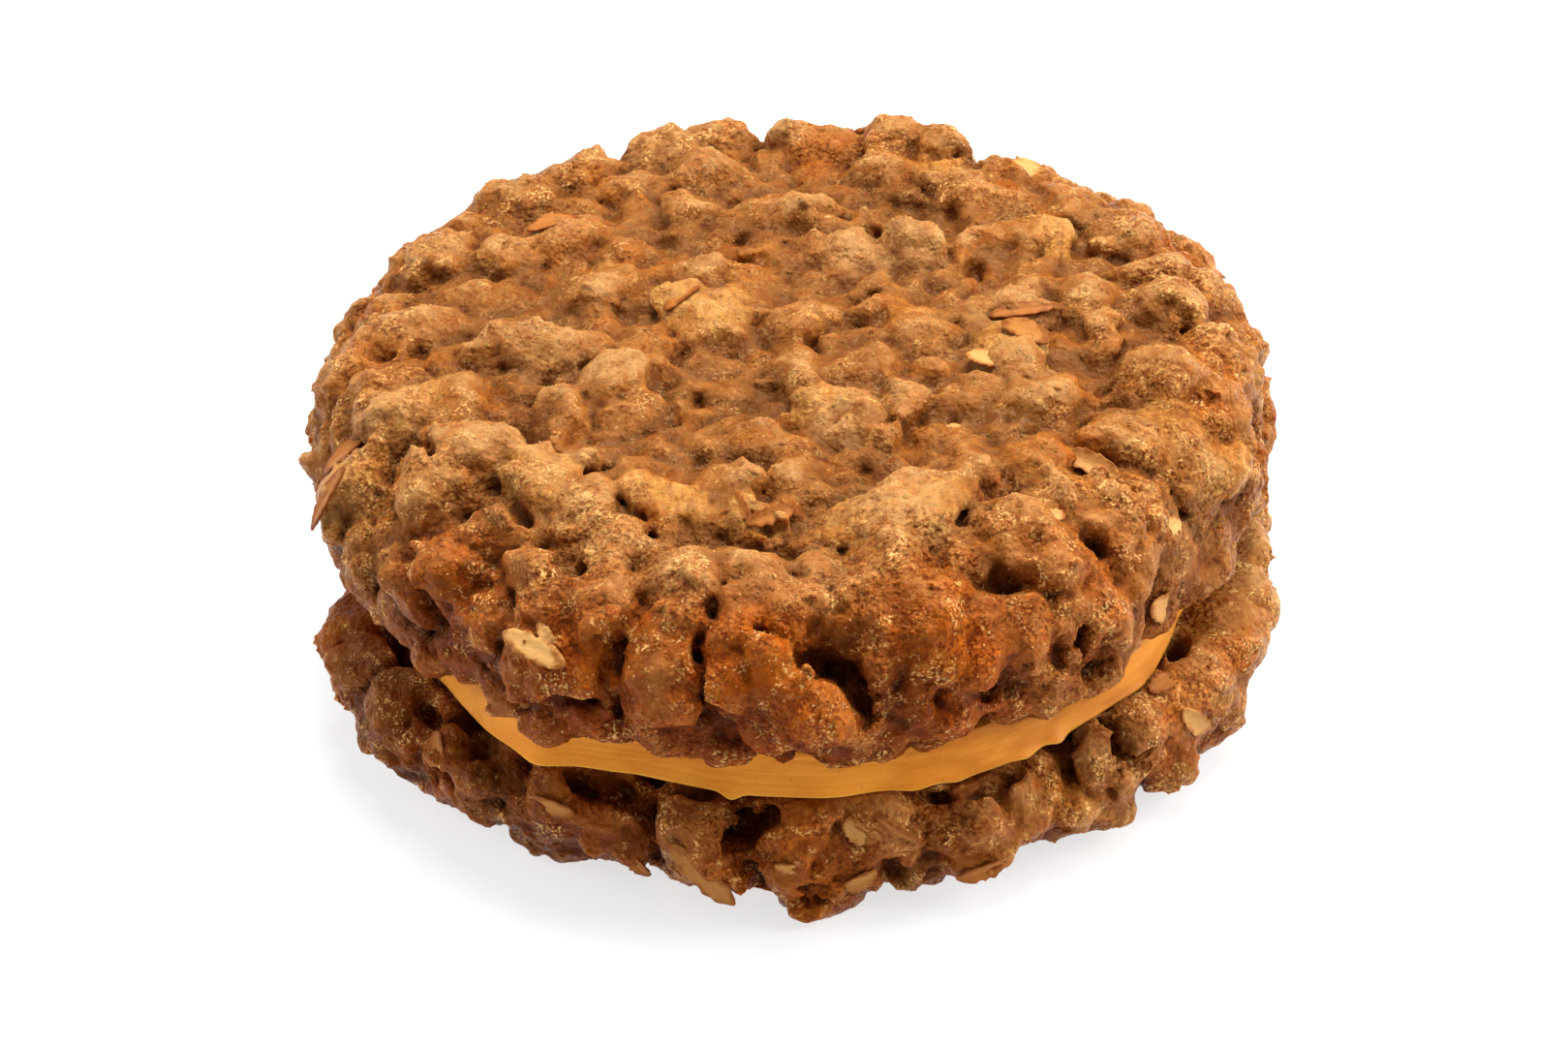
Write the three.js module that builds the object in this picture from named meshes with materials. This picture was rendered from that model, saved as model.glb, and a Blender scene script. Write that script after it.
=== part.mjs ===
// Oatmeal cream pie: two thick, knobbly oat cookies with a spread of buttercream between them.
// Millimetres, +Z up. The origin is the middle of the base, and +Y points to the back of the pie.
//
// Each cookie starts as a smooth form: a rounded section turned about an upright axis, with slow waves in its
// plan outline. Baked lumps with creases between them stand on that form. The lower cookie lies upside down:
// its flat underside carries the cream, and its crown rests on the table, where the crests are pressed flat.

import * as THREE from "three";
import { mergeVertices } from "three/addons/utils/BufferGeometryUtils.js";

// Driving dimensions
const TOP_RADIUS = 46; // the upper cookie, in plan
const TOP_THICKNESS = 17.5;
const BOTTOM_RADIUS = 45.5; // the lower cookie, in plan
const BOTTOM_THICKNESS = 13;
const CREAM_THICKNESS = 3.5; // from cookie to cookie
const CREAM_RADIUS = 41.4; // mean reach of the cream, which wavers
const SEAT = 0.3; // clearance between the cream and each cookie

// Where the axes stand from the middle of the whole outline. The cream shares the upper cookie's axis.
const TOP_AXIS = new THREE.Vector2(-0.6, 0.9);
const BOTTOM_AXIS = new THREE.Vector2(0.3, 0.7); // the lower cookie lies a little off the upper one's axis
const LEAN = new THREE.Vector2(-0.012, 0.006); // rise of the upper cookie for each mm to the right and back

const CROWN_RISE = 0.5; // the upper cookie's middle above its shoulder
const TOP_SHOULDER = { across: 12, down: 10.3 }; // the long rounded edge of a baked crown
const TOP_RIM = 4; // radius of the upper cookie's edge next to the cream
const BOTTOM_RIM = 3; // and of the lower cookie's
const BOTTOM_SHOULDER = { across: 7, down: 5 };
const REST_RADIUS = 13; // the flat middle of the base

const CREASE_DEPTH = 1.6; // how far a crease lies under the smooth form
const CREST = { low: 1.2, high: 2.5 }; // a lump's crest above the creases
const LUMP = { low: 4.2, high: 7 }; // a lump's radius
const CREST_ROUNDNESS = 0.8; // 1 gives a parabola's section, and less a blunter lump
const LUMPS_ON_TOP = 190;
const LUMPS_ON_BOTTOM = 170;
const KEEP_CLEAR = 0.62; // share of a landmark's radius that the other lumps' middles keep out of
const PLAIN_DETAIL = 0.3; // density of lumps and facets where the cream hides a cookie

const TOP_FINENESS = 14; // how often each edge of an icosahedron is split
const BOTTOM_FINENESS = 13;
const CREAM_STEPS = 96;

// Slow waves in the plan outlines: how many to a turn, and their cosine and sine parts
const TOP_WAVES = [
  { count: 2, cos: -0.5, sin: 0.2 },
  { count: 3, cos: 0.3, sin: 0.65 },
  { count: 4, cos: 0.3, sin: 0 },
];
const BOTTOM_WAVES = [
  { count: 3, cos: 0.3, sin: -0.3 },
  { count: 4, cos: -0.2, sin: 0.9 },
];
const CREAM_WAVES = [
  { count: 1, cos: 0, sin: -1.5 },
  { count: 2, cos: -1.4, sin: 0 },
  { count: 7, cos: 0.25, sin: 0.2 },
  { count: 13, cos: 0.1, sin: -0.18 },
];

// The lumps and hollows that give this pie its face: an angle in degrees from +X, the reach over the surface
// from the middle of the cookie's upper face, a radius, and a height, which is negative for a hollow.
const TOP_LANDMARKS = [
  { angle: -93, reach: 47, radius: 6.5, height: 3.0 },
  { angle: -108, reach: 46, radius: 5.6, height: 2.8 },
  { angle: -72, reach: 44, radius: 7.4, height: 3.1 },
  { angle: -119, reach: 45, radius: 5.2, height: 2.4 },
  { angle: -58, reach: 40, radius: 5.6, height: 2.4 },
  { angle: -90, reach: 40, radius: 4.4, height: 2.0 },
  { angle: -104, reach: 37, radius: 5.6, height: 2.4 },
  { angle: -73, reach: 32, radius: 7.0, height: 2.3 },
  { angle: -131, reach: 30, radius: 6.4, height: 2.5 },
  { angle: -73, reach: 16.5, radius: 4.6, height: 2.3 },
  { angle: -38, reach: 31.5, radius: 6.6, height: 2.3 },
  { angle: -18, reach: 35, radius: 7.2, height: 2.6 },
  { angle: 57, reach: 16.5, radius: 7.0, height: 2.2 },
  { angle: 137, reach: 27, radius: 6.6, height: 2.2 },
  { angle: -155, reach: 34, radius: 6.2, height: 2.4 },
  { angle: 84, reach: 35, radius: 6.0, height: 2.6 },
  { angle: 70, reach: 36, radius: 5.6, height: 2.6 },
  { angle: 107, reach: 37, radius: 6.4, height: 2.4 },
  { angle: -84, reach: 47, radius: 4.6, height: -3.2 },
  { angle: -64, reach: 42.5, radius: 3.6, height: -2.6 },
  { angle: -21, reach: 30, radius: 3.6, height: -2.4 },
  { angle: -118, reach: 41, radius: 3.6, height: -2.8 },
  { angle: -78, reach: 25.5, radius: 4.4, height: -2.0 },
  { angle: 58, reach: 25.5, radius: 6.0, height: -2.4 },
  { angle: -100, reach: 11.5, radius: 7.6, height: -1.6 },
  { angle: -146, reach: 27, radius: 4.6, height: -1.8 },
];
const BOTTOM_LANDMARKS = [
  { angle: -90, reach: 53, radius: 7.4, height: 4.4 },
  { angle: -101, reach: 49, radius: 6.2, height: 3.2 },
  { angle: -78, reach: 50, radius: 4.6, height: 2.6 },
  { angle: -121, reach: 50, radius: 6.0, height: 2.4 },
  { angle: -137, reach: 50, radius: 5.6, height: 2.2 },
  { angle: -155, reach: 49, radius: 5.4, height: 2.6 },
  { angle: -64, reach: 49, radius: 6.6, height: 2.4 },
  { angle: -47, reach: 48, radius: 6.0, height: 2.4 },
  { angle: -28, reach: 48, radius: 7.0, height: 2.6 },
  { angle: -111, reach: 51, radius: 3.4, height: -2.4 },
  { angle: -146, reach: 45, radius: 3.6, height: -2.2 },
];

const GOLDEN_ANGLE = Math.PI * (3 - Math.sqrt(5));
const ANGLE_JITTER = 0.12; // radians

/** A repeatable number from 0 to 1 for each whole number and channel. */
function chance(index, channel) {
  const raw = Math.sin(index * 12.9898 + channel * 78.233) * 43758.5453;
  return raw - Math.floor(raw);
}

/** The outward swell of a plan outline at an angle. */
function swell(waves, angle) {
  const part = ({ count, cos, sin }) => cos * Math.cos(count * angle) + sin * Math.sin(count * angle);
  return waves.reduce((sum, wave) => sum + part(wave), 0);
}

/** The upper cookie's section, from the middle of its crown over the edge to the middle of its underside. */
function topSection() {
  const underside = BOTTOM_THICKNESS + CREAM_THICKNESS;
  const shoulderTop = underside + TOP_THICKNESS;
  const face = TOP_RADIUS - TOP_SHOULDER.across;
  const path = new THREE.Path();
  path.moveTo(0, shoulderTop + CROWN_RISE);
  path.quadraticCurveTo(face / 2, shoulderTop + CROWN_RISE, face, shoulderTop);
  path.absellipse(
    face,
    shoulderTop - TOP_SHOULDER.down,
    TOP_SHOULDER.across,
    TOP_SHOULDER.down,
    Math.PI / 2,
    0,
    true,
  );
  path.lineTo(TOP_RADIUS, underside + TOP_RIM);
  path.absarc(TOP_RADIUS - TOP_RIM, underside + TOP_RIM, TOP_RIM, 0, -Math.PI / 2, true);
  path.lineTo(0, underside);
  return path;
}

/** The lower cookie's section, from the middle of its flat face over the edge to the middle of the base. */
function bottomSection() {
  const face = BOTTOM_RADIUS - BOTTOM_RIM;
  const path = new THREE.Path();
  path.moveTo(0, BOTTOM_THICKNESS);
  path.lineTo(face, BOTTOM_THICKNESS);
  path.absarc(face, BOTTOM_THICKNESS - BOTTOM_RIM, BOTTOM_RIM, Math.PI / 2, 0, true);
  path.lineTo(BOTTOM_RADIUS, BOTTOM_SHOULDER.down);
  path.absellipse(
    BOTTOM_RADIUS - BOTTOM_SHOULDER.across,
    BOTTOM_SHOULDER.down,
    BOTTOM_SHOULDER.across,
    BOTTOM_SHOULDER.down,
    0,
    -Math.PI / 2,
    true,
  );
  path.lineTo(0, 0);
  return path;
}

/**
 * A cookie's smooth form. A place on it is an angle about its axis and a reach over its surface, from the
 * middle of the upper face. `shown` gives the share of the lumps' height that shows, by reach.
 */
class CookieForm {
  constructor({ section, radius, waves, axis, shown }) {
    Object.assign(this, { section, radius, waves, axis, shown });
    this.length = section.getLength();
    this.swept = this.sweep(400);
  }

  /** The surface swept from the middle out to each of many evenly spaced reaches, less where it is plain. */
  sweep(steps) {
    const swept = [0];
    for (let i = 1; i <= steps; i++) {
      const reach = ((i - 0.5) / steps) * this.length;
      const detail = PLAIN_DETAIL + (1 - PLAIN_DETAIL) * this.shown(reach);
      swept.push(swept[i - 1] + this.section.getPointAt(reach / this.length).x * detail);
    }
    return swept;
  }

  /** The reach within which a share of the surface lies. */
  reachOf(share) {
    const wanted = share * this.swept.at(-1);
    const step = Math.max(1, this.swept.findIndex((amount) => amount >= wanted));
    const [before, after] = [this.swept[step - 1], this.swept[step]];
    return ((step - 1 + (wanted - before) / (after - before)) / (this.swept.length - 1)) * this.length;
  }

  /** The point and the outward normal at a place. */
  at(angle, reach) {
    const share = THREE.MathUtils.clamp(reach / this.length, 0, 1);
    const { x: out, y: height } = this.section.getPointAt(share);
    const { x: alongOut, y: alongUp } = this.section.getTangentAt(share);
    const plan = out * (1 + swell(this.waves, angle) / this.radius);
    const outward = new THREE.Vector3(Math.cos(angle), Math.sin(angle), 0);
    const point = new THREE.Vector3(this.axis.x, this.axis.y, height).addScaledVector(outward, plan);
    const normal = outward.multiplyScalar(-alongUp).setZ(alongOut);
    return { point, normal };
  }
}

/** The landmarks of a cookie, and lumps spread evenly by the golden angle over the rest of it. */
function lumpsOf(form, landmarks, count) {
  const marks = landmarks.map(({ angle, reach, radius, height }) => {
    const { point } = form.at(THREE.MathUtils.degToRad(angle), reach);
    return { point, radius, height };
  });
  const spread = Array.from({ length: count }, (_, i) => {
    const angle = i * GOLDEN_ANGLE + ANGLE_JITTER * (chance(i, 1) - 0.5);
    const { point } = form.at(angle, form.reachOf((i + 0.5) / count));
    const radius = THREE.MathUtils.lerp(LUMP.low, LUMP.high, chance(i, 2));
    const height = THREE.MathUtils.lerp(CREST.low, CREST.high, chance(i, 3));
    return { point, radius, height };
  });
  const farFrom = (lump, mark) => mark.point.distanceTo(lump.point) > KEEP_CLEAR * mark.radius;
  const isClear = (lump) => marks.every((mark) => farFrom(lump, mark));
  return [...marks, ...spread.filter(isClear)];
}

/** How far the lumps and hollows lift the surface over the smooth form at a point. */
function relief(lumps, point) {
  let crest = 0;
  let hollow = 0;
  for (const lump of lumps) {
    const nearness = 1 - point.distanceToSquared(lump.point) / lump.radius ** 2;
    if (nearness <= 0) continue;
    if (lump.height > 0) crest = Math.max(crest, lump.height * nearness ** CREST_ROUNDNESS);
    else hollow = Math.min(hollow, lump.height * nearness);
  }
  return crest + hollow - CREASE_DEPTH;
}

/** Even facets: those of a ball, sent to a cookie's form so that equal areas stay equal, and lifted. */
function cookieGeometry(form, lumps, fineness) {
  const ball = new THREE.IcosahedronGeometry(1, fineness);
  ball.deleteAttribute("normal");
  ball.deleteAttribute("uv");
  const geometry = mergeVertices(ball, 1e-5);
  const places = geometry.getAttribute("position");
  for (let i = 0; i < places.count; i++) {
    const onBall = new THREE.Vector3().fromBufferAttribute(places, i);
    const reach = form.reachOf((1 - onBall.z) / 2);
    const { point, normal } = form.at(Math.atan2(onBall.y, onBall.x), reach);
    point.addScaledVector(normal, form.shown(reach) * relief(lumps, point));
    places.setXYZ(i, point.x, point.y, point.z);
  }
  return geometry;
}

/** Press the crests that would reach below the table flat, and so the whole middle of the base. */
function setDown(geometry, axis) {
  const places = geometry.getAttribute("position");
  for (let i = 0; i < places.count; i++) {
    const out = Math.hypot(places.getX(i) - axis.x, places.getY(i) - axis.y);
    const isBase = out < REST_RADIUS && places.getZ(i) < BOTTOM_THICKNESS / 2;
    places.setZ(i, isBase ? 0 : Math.max(places.getZ(i), 0));
  }
  return geometry;
}

/** The cream: a flat round spread with a wavering, slightly bulging wall. */
function creamGeometry() {
  const floor = BOTTOM_THICKNESS + SEAT;
  const ceiling = BOTTOM_THICKNESS + CREAM_THICKNESS - SEAT;
  const bulge = new THREE.SplineCurve([
    new THREE.Vector2(CREAM_RADIUS - 0.3, floor),
    new THREE.Vector2(CREAM_RADIUS + 0.4, (floor + ceiling) / 2),
    new THREE.Vector2(CREAM_RADIUS - 0.3, ceiling),
  ]);
  const outline = [new THREE.Vector2(0, floor), ...bulge.getPoints(4), new THREE.Vector2(0, ceiling)];
  const lathe = new THREE.LatheGeometry(outline, CREAM_STEPS).rotateX(Math.PI / 2);
  lathe.deleteAttribute("normal");
  lathe.deleteAttribute("uv");
  const geometry = mergeVertices(lathe);
  const places = geometry.getAttribute("position");
  for (let i = 0; i < places.count; i++) {
    const [x, y] = [places.getX(i), places.getY(i)];
    const stretch = 1 + swell(CREAM_WAVES, Math.atan2(y, x)) / CREAM_RADIUS;
    const rise = ((places.getZ(i) - floor) / (ceiling - floor)) * LEAN.dot(new THREE.Vector2(x, y));
    places.setXYZ(i, x * stretch + TOP_AXIS.x, y * stretch + TOP_AXIS.y, places.getZ(i) + rise);
  }
  return geometry;
}

/** Raise each point of the upper cookie by its lean. */
function leant(geometry) {
  const places = geometry.getAttribute("position");
  for (let i = 0; i < places.count; i++) {
    const fromAxis = new THREE.Vector2(places.getX(i), places.getY(i)).sub(TOP_AXIS);
    places.setZ(i, places.getZ(i) + LEAN.dot(fromAxis));
  }
  return geometry;
}

/** A named mesh with its finish. */
function piece(name, geometry, colour, roughness) {
  geometry.computeVertexNormals();
  const finish = new THREE.MeshStandardMaterial({ color: colour, roughness, metalness: 0 });
  const mesh = new THREE.Mesh(geometry, finish);
  mesh.name = name;
  return mesh;
}

function topCookie() {
  const form = new CookieForm({
    section: topSection(),
    radius: TOP_RADIUS,
    waves: TOP_WAVES,
    axis: TOP_AXIS,
    shown: (reach) => 1 - THREE.MathUtils.smoothstep(reach, 54, 60),
  });
  const lumpy = cookieGeometry(form, lumpsOf(form, TOP_LANDMARKS, LUMPS_ON_TOP), TOP_FINENESS);
  return piece("top_cookie", leant(lumpy), 0xb9773c, 0.6);
}

function bottomCookie() {
  const form = new CookieForm({
    section: bottomSection(),
    radius: BOTTOM_RADIUS,
    waves: BOTTOM_WAVES,
    axis: BOTTOM_AXIS,
    shown: (reach) => THREE.MathUtils.smoothstep(reach, 42, 46),
  });
  const lumpy = cookieGeometry(form, lumpsOf(form, BOTTOM_LANDMARKS, LUMPS_ON_BOTTOM), BOTTOM_FINENESS);
  return piece("bottom_cookie", setDown(lumpy, BOTTOM_AXIS), 0x9c5f30, 0.65);
}

const pie = new THREE.Group();
pie.add(topCookie(), piece("cream_filling", creamGeometry(), 0xe09b4a, 0.4), bottomCookie());

export default pie;
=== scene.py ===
"""Oatmeal cream pie: two thick, knobbly oat cookies with a spread of buttercream between them.

Dough is worked out in millimetres, as signed distances on a grid, and becomes a mesh in metres. The frame is
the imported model's: +Z up, -Y the front, the origin in the middle of the base. A place on a cookie is an angle
in degrees about the cookie's axis and a reach over its surface, from the middle of its upper face.
"""

import logging
import math
from dataclasses import dataclass, field, replace
from enum import Enum

import bpy
import numpy as np
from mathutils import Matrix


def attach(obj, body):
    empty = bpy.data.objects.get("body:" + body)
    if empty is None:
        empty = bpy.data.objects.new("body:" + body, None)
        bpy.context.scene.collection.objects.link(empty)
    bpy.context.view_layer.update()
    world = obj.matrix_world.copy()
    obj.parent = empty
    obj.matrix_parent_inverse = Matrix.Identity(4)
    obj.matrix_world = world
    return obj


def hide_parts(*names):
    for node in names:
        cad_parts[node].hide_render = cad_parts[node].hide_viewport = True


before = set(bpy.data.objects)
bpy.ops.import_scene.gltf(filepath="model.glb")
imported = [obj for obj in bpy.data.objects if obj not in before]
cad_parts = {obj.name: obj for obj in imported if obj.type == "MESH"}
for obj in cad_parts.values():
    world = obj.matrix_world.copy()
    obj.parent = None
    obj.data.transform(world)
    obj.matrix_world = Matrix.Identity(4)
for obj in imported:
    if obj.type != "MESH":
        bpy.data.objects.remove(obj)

import openvdb
from mathutils import Euler, Matrix, Vector

log = logging.getLogger("oatmeal_cream_pie")

Socket = bpy.types.NodeSocket
MM = 0.001
BODY = "root"
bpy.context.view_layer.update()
GOLDEN_ANGLE = math.degrees(math.pi * (3 - math.sqrt(5)))
TRIANGLE_LIMIT = 190_000  # for one piece
NOISE_BAND = 0.45  # how far the sizes of a noise's bumps spread, as a share of their own size


# ---- shared sums ----


def srgb(red: int, green: int, blue: int) -> tuple[float, float, float, float]:
    """Turn a colour as it looks on a screen into the linear one that a shader takes.

    Args:
        red, green, blue: Values from 0 to 255.

    Returns:
        The linear colour, opaque.
    """
    parts = [value / 255 for value in (red, green, blue)]
    linear = [part / 12.92 if part <= 0.04045 else ((part + 0.055) / 1.055) ** 2.4 for part in parts]
    return (*linear, 1.0)


def smooth_step(value: np.ndarray, low: float, high: float) -> np.ndarray:
    """Rise smoothly from 0 at low to 1 at high."""
    share = np.clip((value - low) / (high - low), 0, 1)
    return share * share * (3 - 2 * share)


def joined(first: np.ndarray, second: np.ndarray, blend: float) -> np.ndarray:
    """Join two signed distances, with a fillet where they meet.

    Args:
        first, second: Signed distances, negative inside.
        blend: How far from the meeting line the fillet reaches.

    Returns:
        The distances of the union.
    """
    near = np.maximum(blend - np.abs(first - second), 0) / blend
    return np.minimum(first, second) - near * near * blend / 4


def carved(first: np.ndarray, tool: np.ndarray, blend: float) -> np.ndarray:
    """Carve a tool's shape out of the first shape, with the edges rounded over."""
    return -joined(-first, tool, blend)


def frequencies(shape: tuple[int, ...], cell: float) -> np.ndarray:
    """The square of the frequency that each term of a real Fourier transform stands for.

    Args:
        shape: The counts of the grid that is transformed.
        cell: Its spacing, in mm.

    Returns:
        The squares, in the transform's shape.
    """
    axes = [np.fft.fftfreq(count, cell) for count in shape[:-1]] + [np.fft.rfftfreq(shape[-1], cell)]
    return sum(part**2 for part in np.meshgrid(*axes, indexing="ij", sparse=True))


def noise_field(shape: tuple[int, ...], cell: float, size: float, rng: np.random.Generator) -> np.ndarray:
    """Make even noise whose bumps have one size.

    Args:
        shape: The grid's counts.
        cell: The grid's spacing, in mm.
        size: The distance from bump to bump, in mm.
        rng: The source of the noise.

    Returns:
        Values with a mean of 0 and a spread of 1.
    """
    spectrum = np.fft.rfftn(rng.standard_normal(shape, dtype=np.float32))
    waves = np.sqrt(frequencies(shape, cell))
    spectrum *= np.exp(-(((waves * size - 1) / NOISE_BAND) ** 2) / 2)
    values = np.fft.irfftn(spectrum, shape)
    return (values / values.std()).astype(np.float32)


def blurred(values: np.ndarray, cell: float, spread: float) -> np.ndarray:
    """Blur a grid of values.

    Args:
        values: The grid.
        cell: The grid's spacing, in mm.
        spread: The blur's radius, in mm.

    Returns:
        The blurred grid.
    """
    kept = np.exp(-2 * (math.pi * spread) ** 2 * frequencies(values.shape, cell))
    spectrum = np.fft.rfftn(values) * kept
    return np.fft.irfftn(spectrum, values.shape).astype(np.float32)


# ---- smooth forms ----


@dataclass(frozen=True)
class Wave:
    """A slow wave in a plan outline, in mm."""

    count: int
    cosine: float
    sine: float

    def at(self, angle: np.ndarray) -> np.ndarray:
        """The swell at an angle in radians."""
        return self.cosine * np.cos(self.count * angle) + self.sine * np.sin(self.count * angle)


def arc(middle: tuple[float, float], radii: tuple[float, float], start: float, end: float) -> list[tuple]:
    """Points along an elliptical arc.

    Args:
        middle: The arc's middle.
        radii: Its radii across and up.
        start, end: Its first and last angle, in degrees.

    Returns:
        The points, both ends among them.
    """
    turn = np.radians(np.linspace(start, end, 25))
    return [(middle[0] + radii[0] * math.cos(a), middle[1] + radii[1] * math.sin(a)) for a in turn]


class Section:
    """Half of a cookie's smooth section, from the middle of its upper face to that of its lower face."""

    STEP = 0.25  # the table's spacing, in mm
    MARGIN = 8.0  # how far past the outline the table reaches, in mm
    SAMPLES = 700  # points along the outline

    def __init__(self, corners: list[tuple[float, float]]) -> None:
        """Resample the outline evenly, and tabulate the distance to it.

        Args:
            corners: The outline's points, as (out, height).
        """
        corner = np.array(corners)
        travelled = np.concatenate([[0], np.cumsum(np.hypot(*np.diff(corner, axis=0).T))])
        self.reaches = np.linspace(0, travelled[-1], self.SAMPLES)
        self.outline = np.stack([np.interp(self.reaches, travelled, corner[:, i]) for i in (0, 1)], axis=1)
        along = np.gradient(self.outline, self.reaches, axis=0)
        self.normals = np.stack([-along[:, 1], along[:, 0]], axis=1)
        self.normals /= np.linalg.norm(self.normals, axis=1, keepdims=True)
        self._tabulate()

    def _tabulate(self) -> None:
        """Work out the signed distance on an even grid round the outline."""
        self.corner = np.array([0.0, self.outline[:, 1].min() - self.MARGIN])
        top = self.outline.max(axis=0) + self.MARGIN
        outs = np.arange(self.corner[0], top[0] + self.STEP, self.STEP)
        ups = np.arange(self.corner[1], top[1] + self.STEP, self.STEP)
        place = np.stack(np.meshgrid(outs, ups, indexing="ij"), axis=-1)
        nearest = np.full(place.shape[:2], np.inf)
        side = np.zeros(place.shape[:2])
        for point, normal in zip(self.outline[::2], self.normals[::2]):
            offset = place - point
            away = np.hypot(offset[..., 0], offset[..., 1])
            closer = away < nearest
            nearest[closer] = away[closer]
            side[closer] = np.sign(offset[closer] @ normal)
        self.table = (nearest * side).astype(np.float32)

    def distance(self, out: np.ndarray, height: np.ndarray) -> np.ndarray:
        """The signed distance to the section's outline, negative inside."""
        column = np.clip((out - self.corner[0]) / self.STEP, 0, self.table.shape[0] - 1.001)
        row = np.clip((height - self.corner[1]) / self.STEP, 0, self.table.shape[1] - 1.001)
        i, j = column.astype(int), row.astype(int)
        a, b = column - i, row - j
        low = self.table[i, j] * (1 - a) + self.table[i + 1, j] * a
        high = self.table[i, j + 1] * (1 - a) + self.table[i + 1, j + 1] * a
        return low * (1 - b) + high * b


@dataclass
class Form:
    """A cookie's smooth form: its section, turned about an axis, with waves in its outline and a lean."""

    section: Section
    radius: float
    waves: tuple[Wave, ...]
    axis: tuple[float, float]
    lean: tuple[float, float] = (0.0, 0.0)

    def stretch(self, angle: np.ndarray) -> np.ndarray:
        """How many times further out than the section the outline lies at an angle in radians."""
        return 1 + sum(wave.at(angle) for wave in self.waves) / self.radius

    def out(self, reach: float) -> float:
        """The distance from the axis at a reach, in the section."""
        return float(np.interp(reach, self.section.reaches, self.section.outline[:, 0]))

    def place(self, degrees: float, reach: float) -> tuple[np.ndarray, np.ndarray]:
        """Find a place on the form.

        Args:
            degrees: The angle about the axis.
            reach: The reach over the surface.

        Returns:
            The point and the outward normal.
        """
        angle = math.radians(degrees)
        out, height = (np.interp(reach, self.section.reaches, self.section.outline[:, i]) for i in (0, 1))
        side, rise = (np.interp(reach, self.section.reaches, self.section.normals[:, i]) for i in (0, 1))
        spoke = np.array([math.cos(angle), math.sin(angle)])
        across = spoke * out * float(self.stretch(angle))
        point = np.array([*(across + self.axis), height + across @ self.lean])
        return point, np.array([*(spoke * side), rise])

    def across(self, place: np.ndarray) -> tuple[np.ndarray, np.ndarray]:
        """How far each of an array of points is from the axis along X and along Y."""
        return place[..., 0] - self.axis[0], place[..., 1] - self.axis[1]

    def distance(self, place: np.ndarray) -> np.ndarray:
        """The signed distance from an array of points to the form, negative inside."""
        x, y = self.across(place)
        out = np.hypot(x, y) / self.stretch(np.arctan2(y, x))
        return self.section.distance(out, place[..., 2] - x * self.lean[0] - y * self.lean[1])

    def spread(self, count: int, first: float, last: float) -> list[tuple[float, float]]:
        """Spread places evenly over the form by the golden angle.

        Args:
            count: How many places.
            first, last: The reaches between which they lie.

        Returns:
            An angle and a reach for each.
        """
        inside = (self.section.reaches >= first) & (self.section.reaches <= last)
        swept = np.cumsum(np.where(inside, self.section.outline[:, 0], 0))
        shares = (np.arange(count) + 0.5) / count * swept[-1]
        reaches = np.interp(shares, swept, self.section.reaches)
        return [(i * GOLDEN_ANGLE % 360, float(reach)) for i, reach in enumerate(reaches)]


# ---- dough ----


def axes_about(normal: np.ndarray, heading: float, tilt: float) -> np.ndarray:
    """Make axes for something that lies on a surface.

    Args:
        normal: The surface's normal.
        heading: The turn of the long axis about the normal, in degrees. At 0 it points away from the crown.
        tilt: How far the long axis then rises out of the surface, in degrees.

    Returns:
        The long axis, the cross axis and the upright axis, as rows.
    """
    up = Vector(normal).normalized()
    around = Vector((0, 0, 1)).cross(up)
    around = around.normalized() if around.length > 1e-3 else Vector((0, 1, 0))
    outward = around.cross(up)
    turned = Matrix.Rotation(math.radians(heading), 3, up)
    long_axis, cross_axis = turned @ outward, turned @ around
    lean = Matrix.Rotation(-math.radians(tilt), 3, cross_axis)
    return np.array([lean @ long_axis, cross_axis, lean @ up])


@dataclass
class Blob:
    """An ellipsoid of dough or of air: its middle, its axes as rows, and its radii, in mm."""

    middle: np.ndarray
    axes: np.ndarray
    radii: np.ndarray

    @classmethod
    def lying(cls, middle: np.ndarray, normal: np.ndarray, radii: tuple, *turns: float) -> "Blob":
        """Lay an ellipsoid on a surface.

        Args:
            middle: Its middle.
            normal: The surface's normal.
            radii: Its radii along, across and up.
            *turns: Its heading and its tilt, as for axes_about.

        Returns:
            The ellipsoid.
        """
        return cls(middle, axes_about(normal, *turns), np.array(radii))

    def distance(self, place: np.ndarray) -> np.ndarray:
        """The signed distance from an array of points to the ellipsoid, nearly."""
        radii = self.radii.astype(np.float32)
        own = (place - self.middle.astype(np.float32)) @ self.axes.T.astype(np.float32)
        near = np.sqrt(np.sum((own / radii) ** 2, axis=-1))
        far = np.sqrt(np.sum((own / (radii**2)) ** 2, axis=-1))
        return near * (near - 1) / np.maximum(far, 1e-6)


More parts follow.
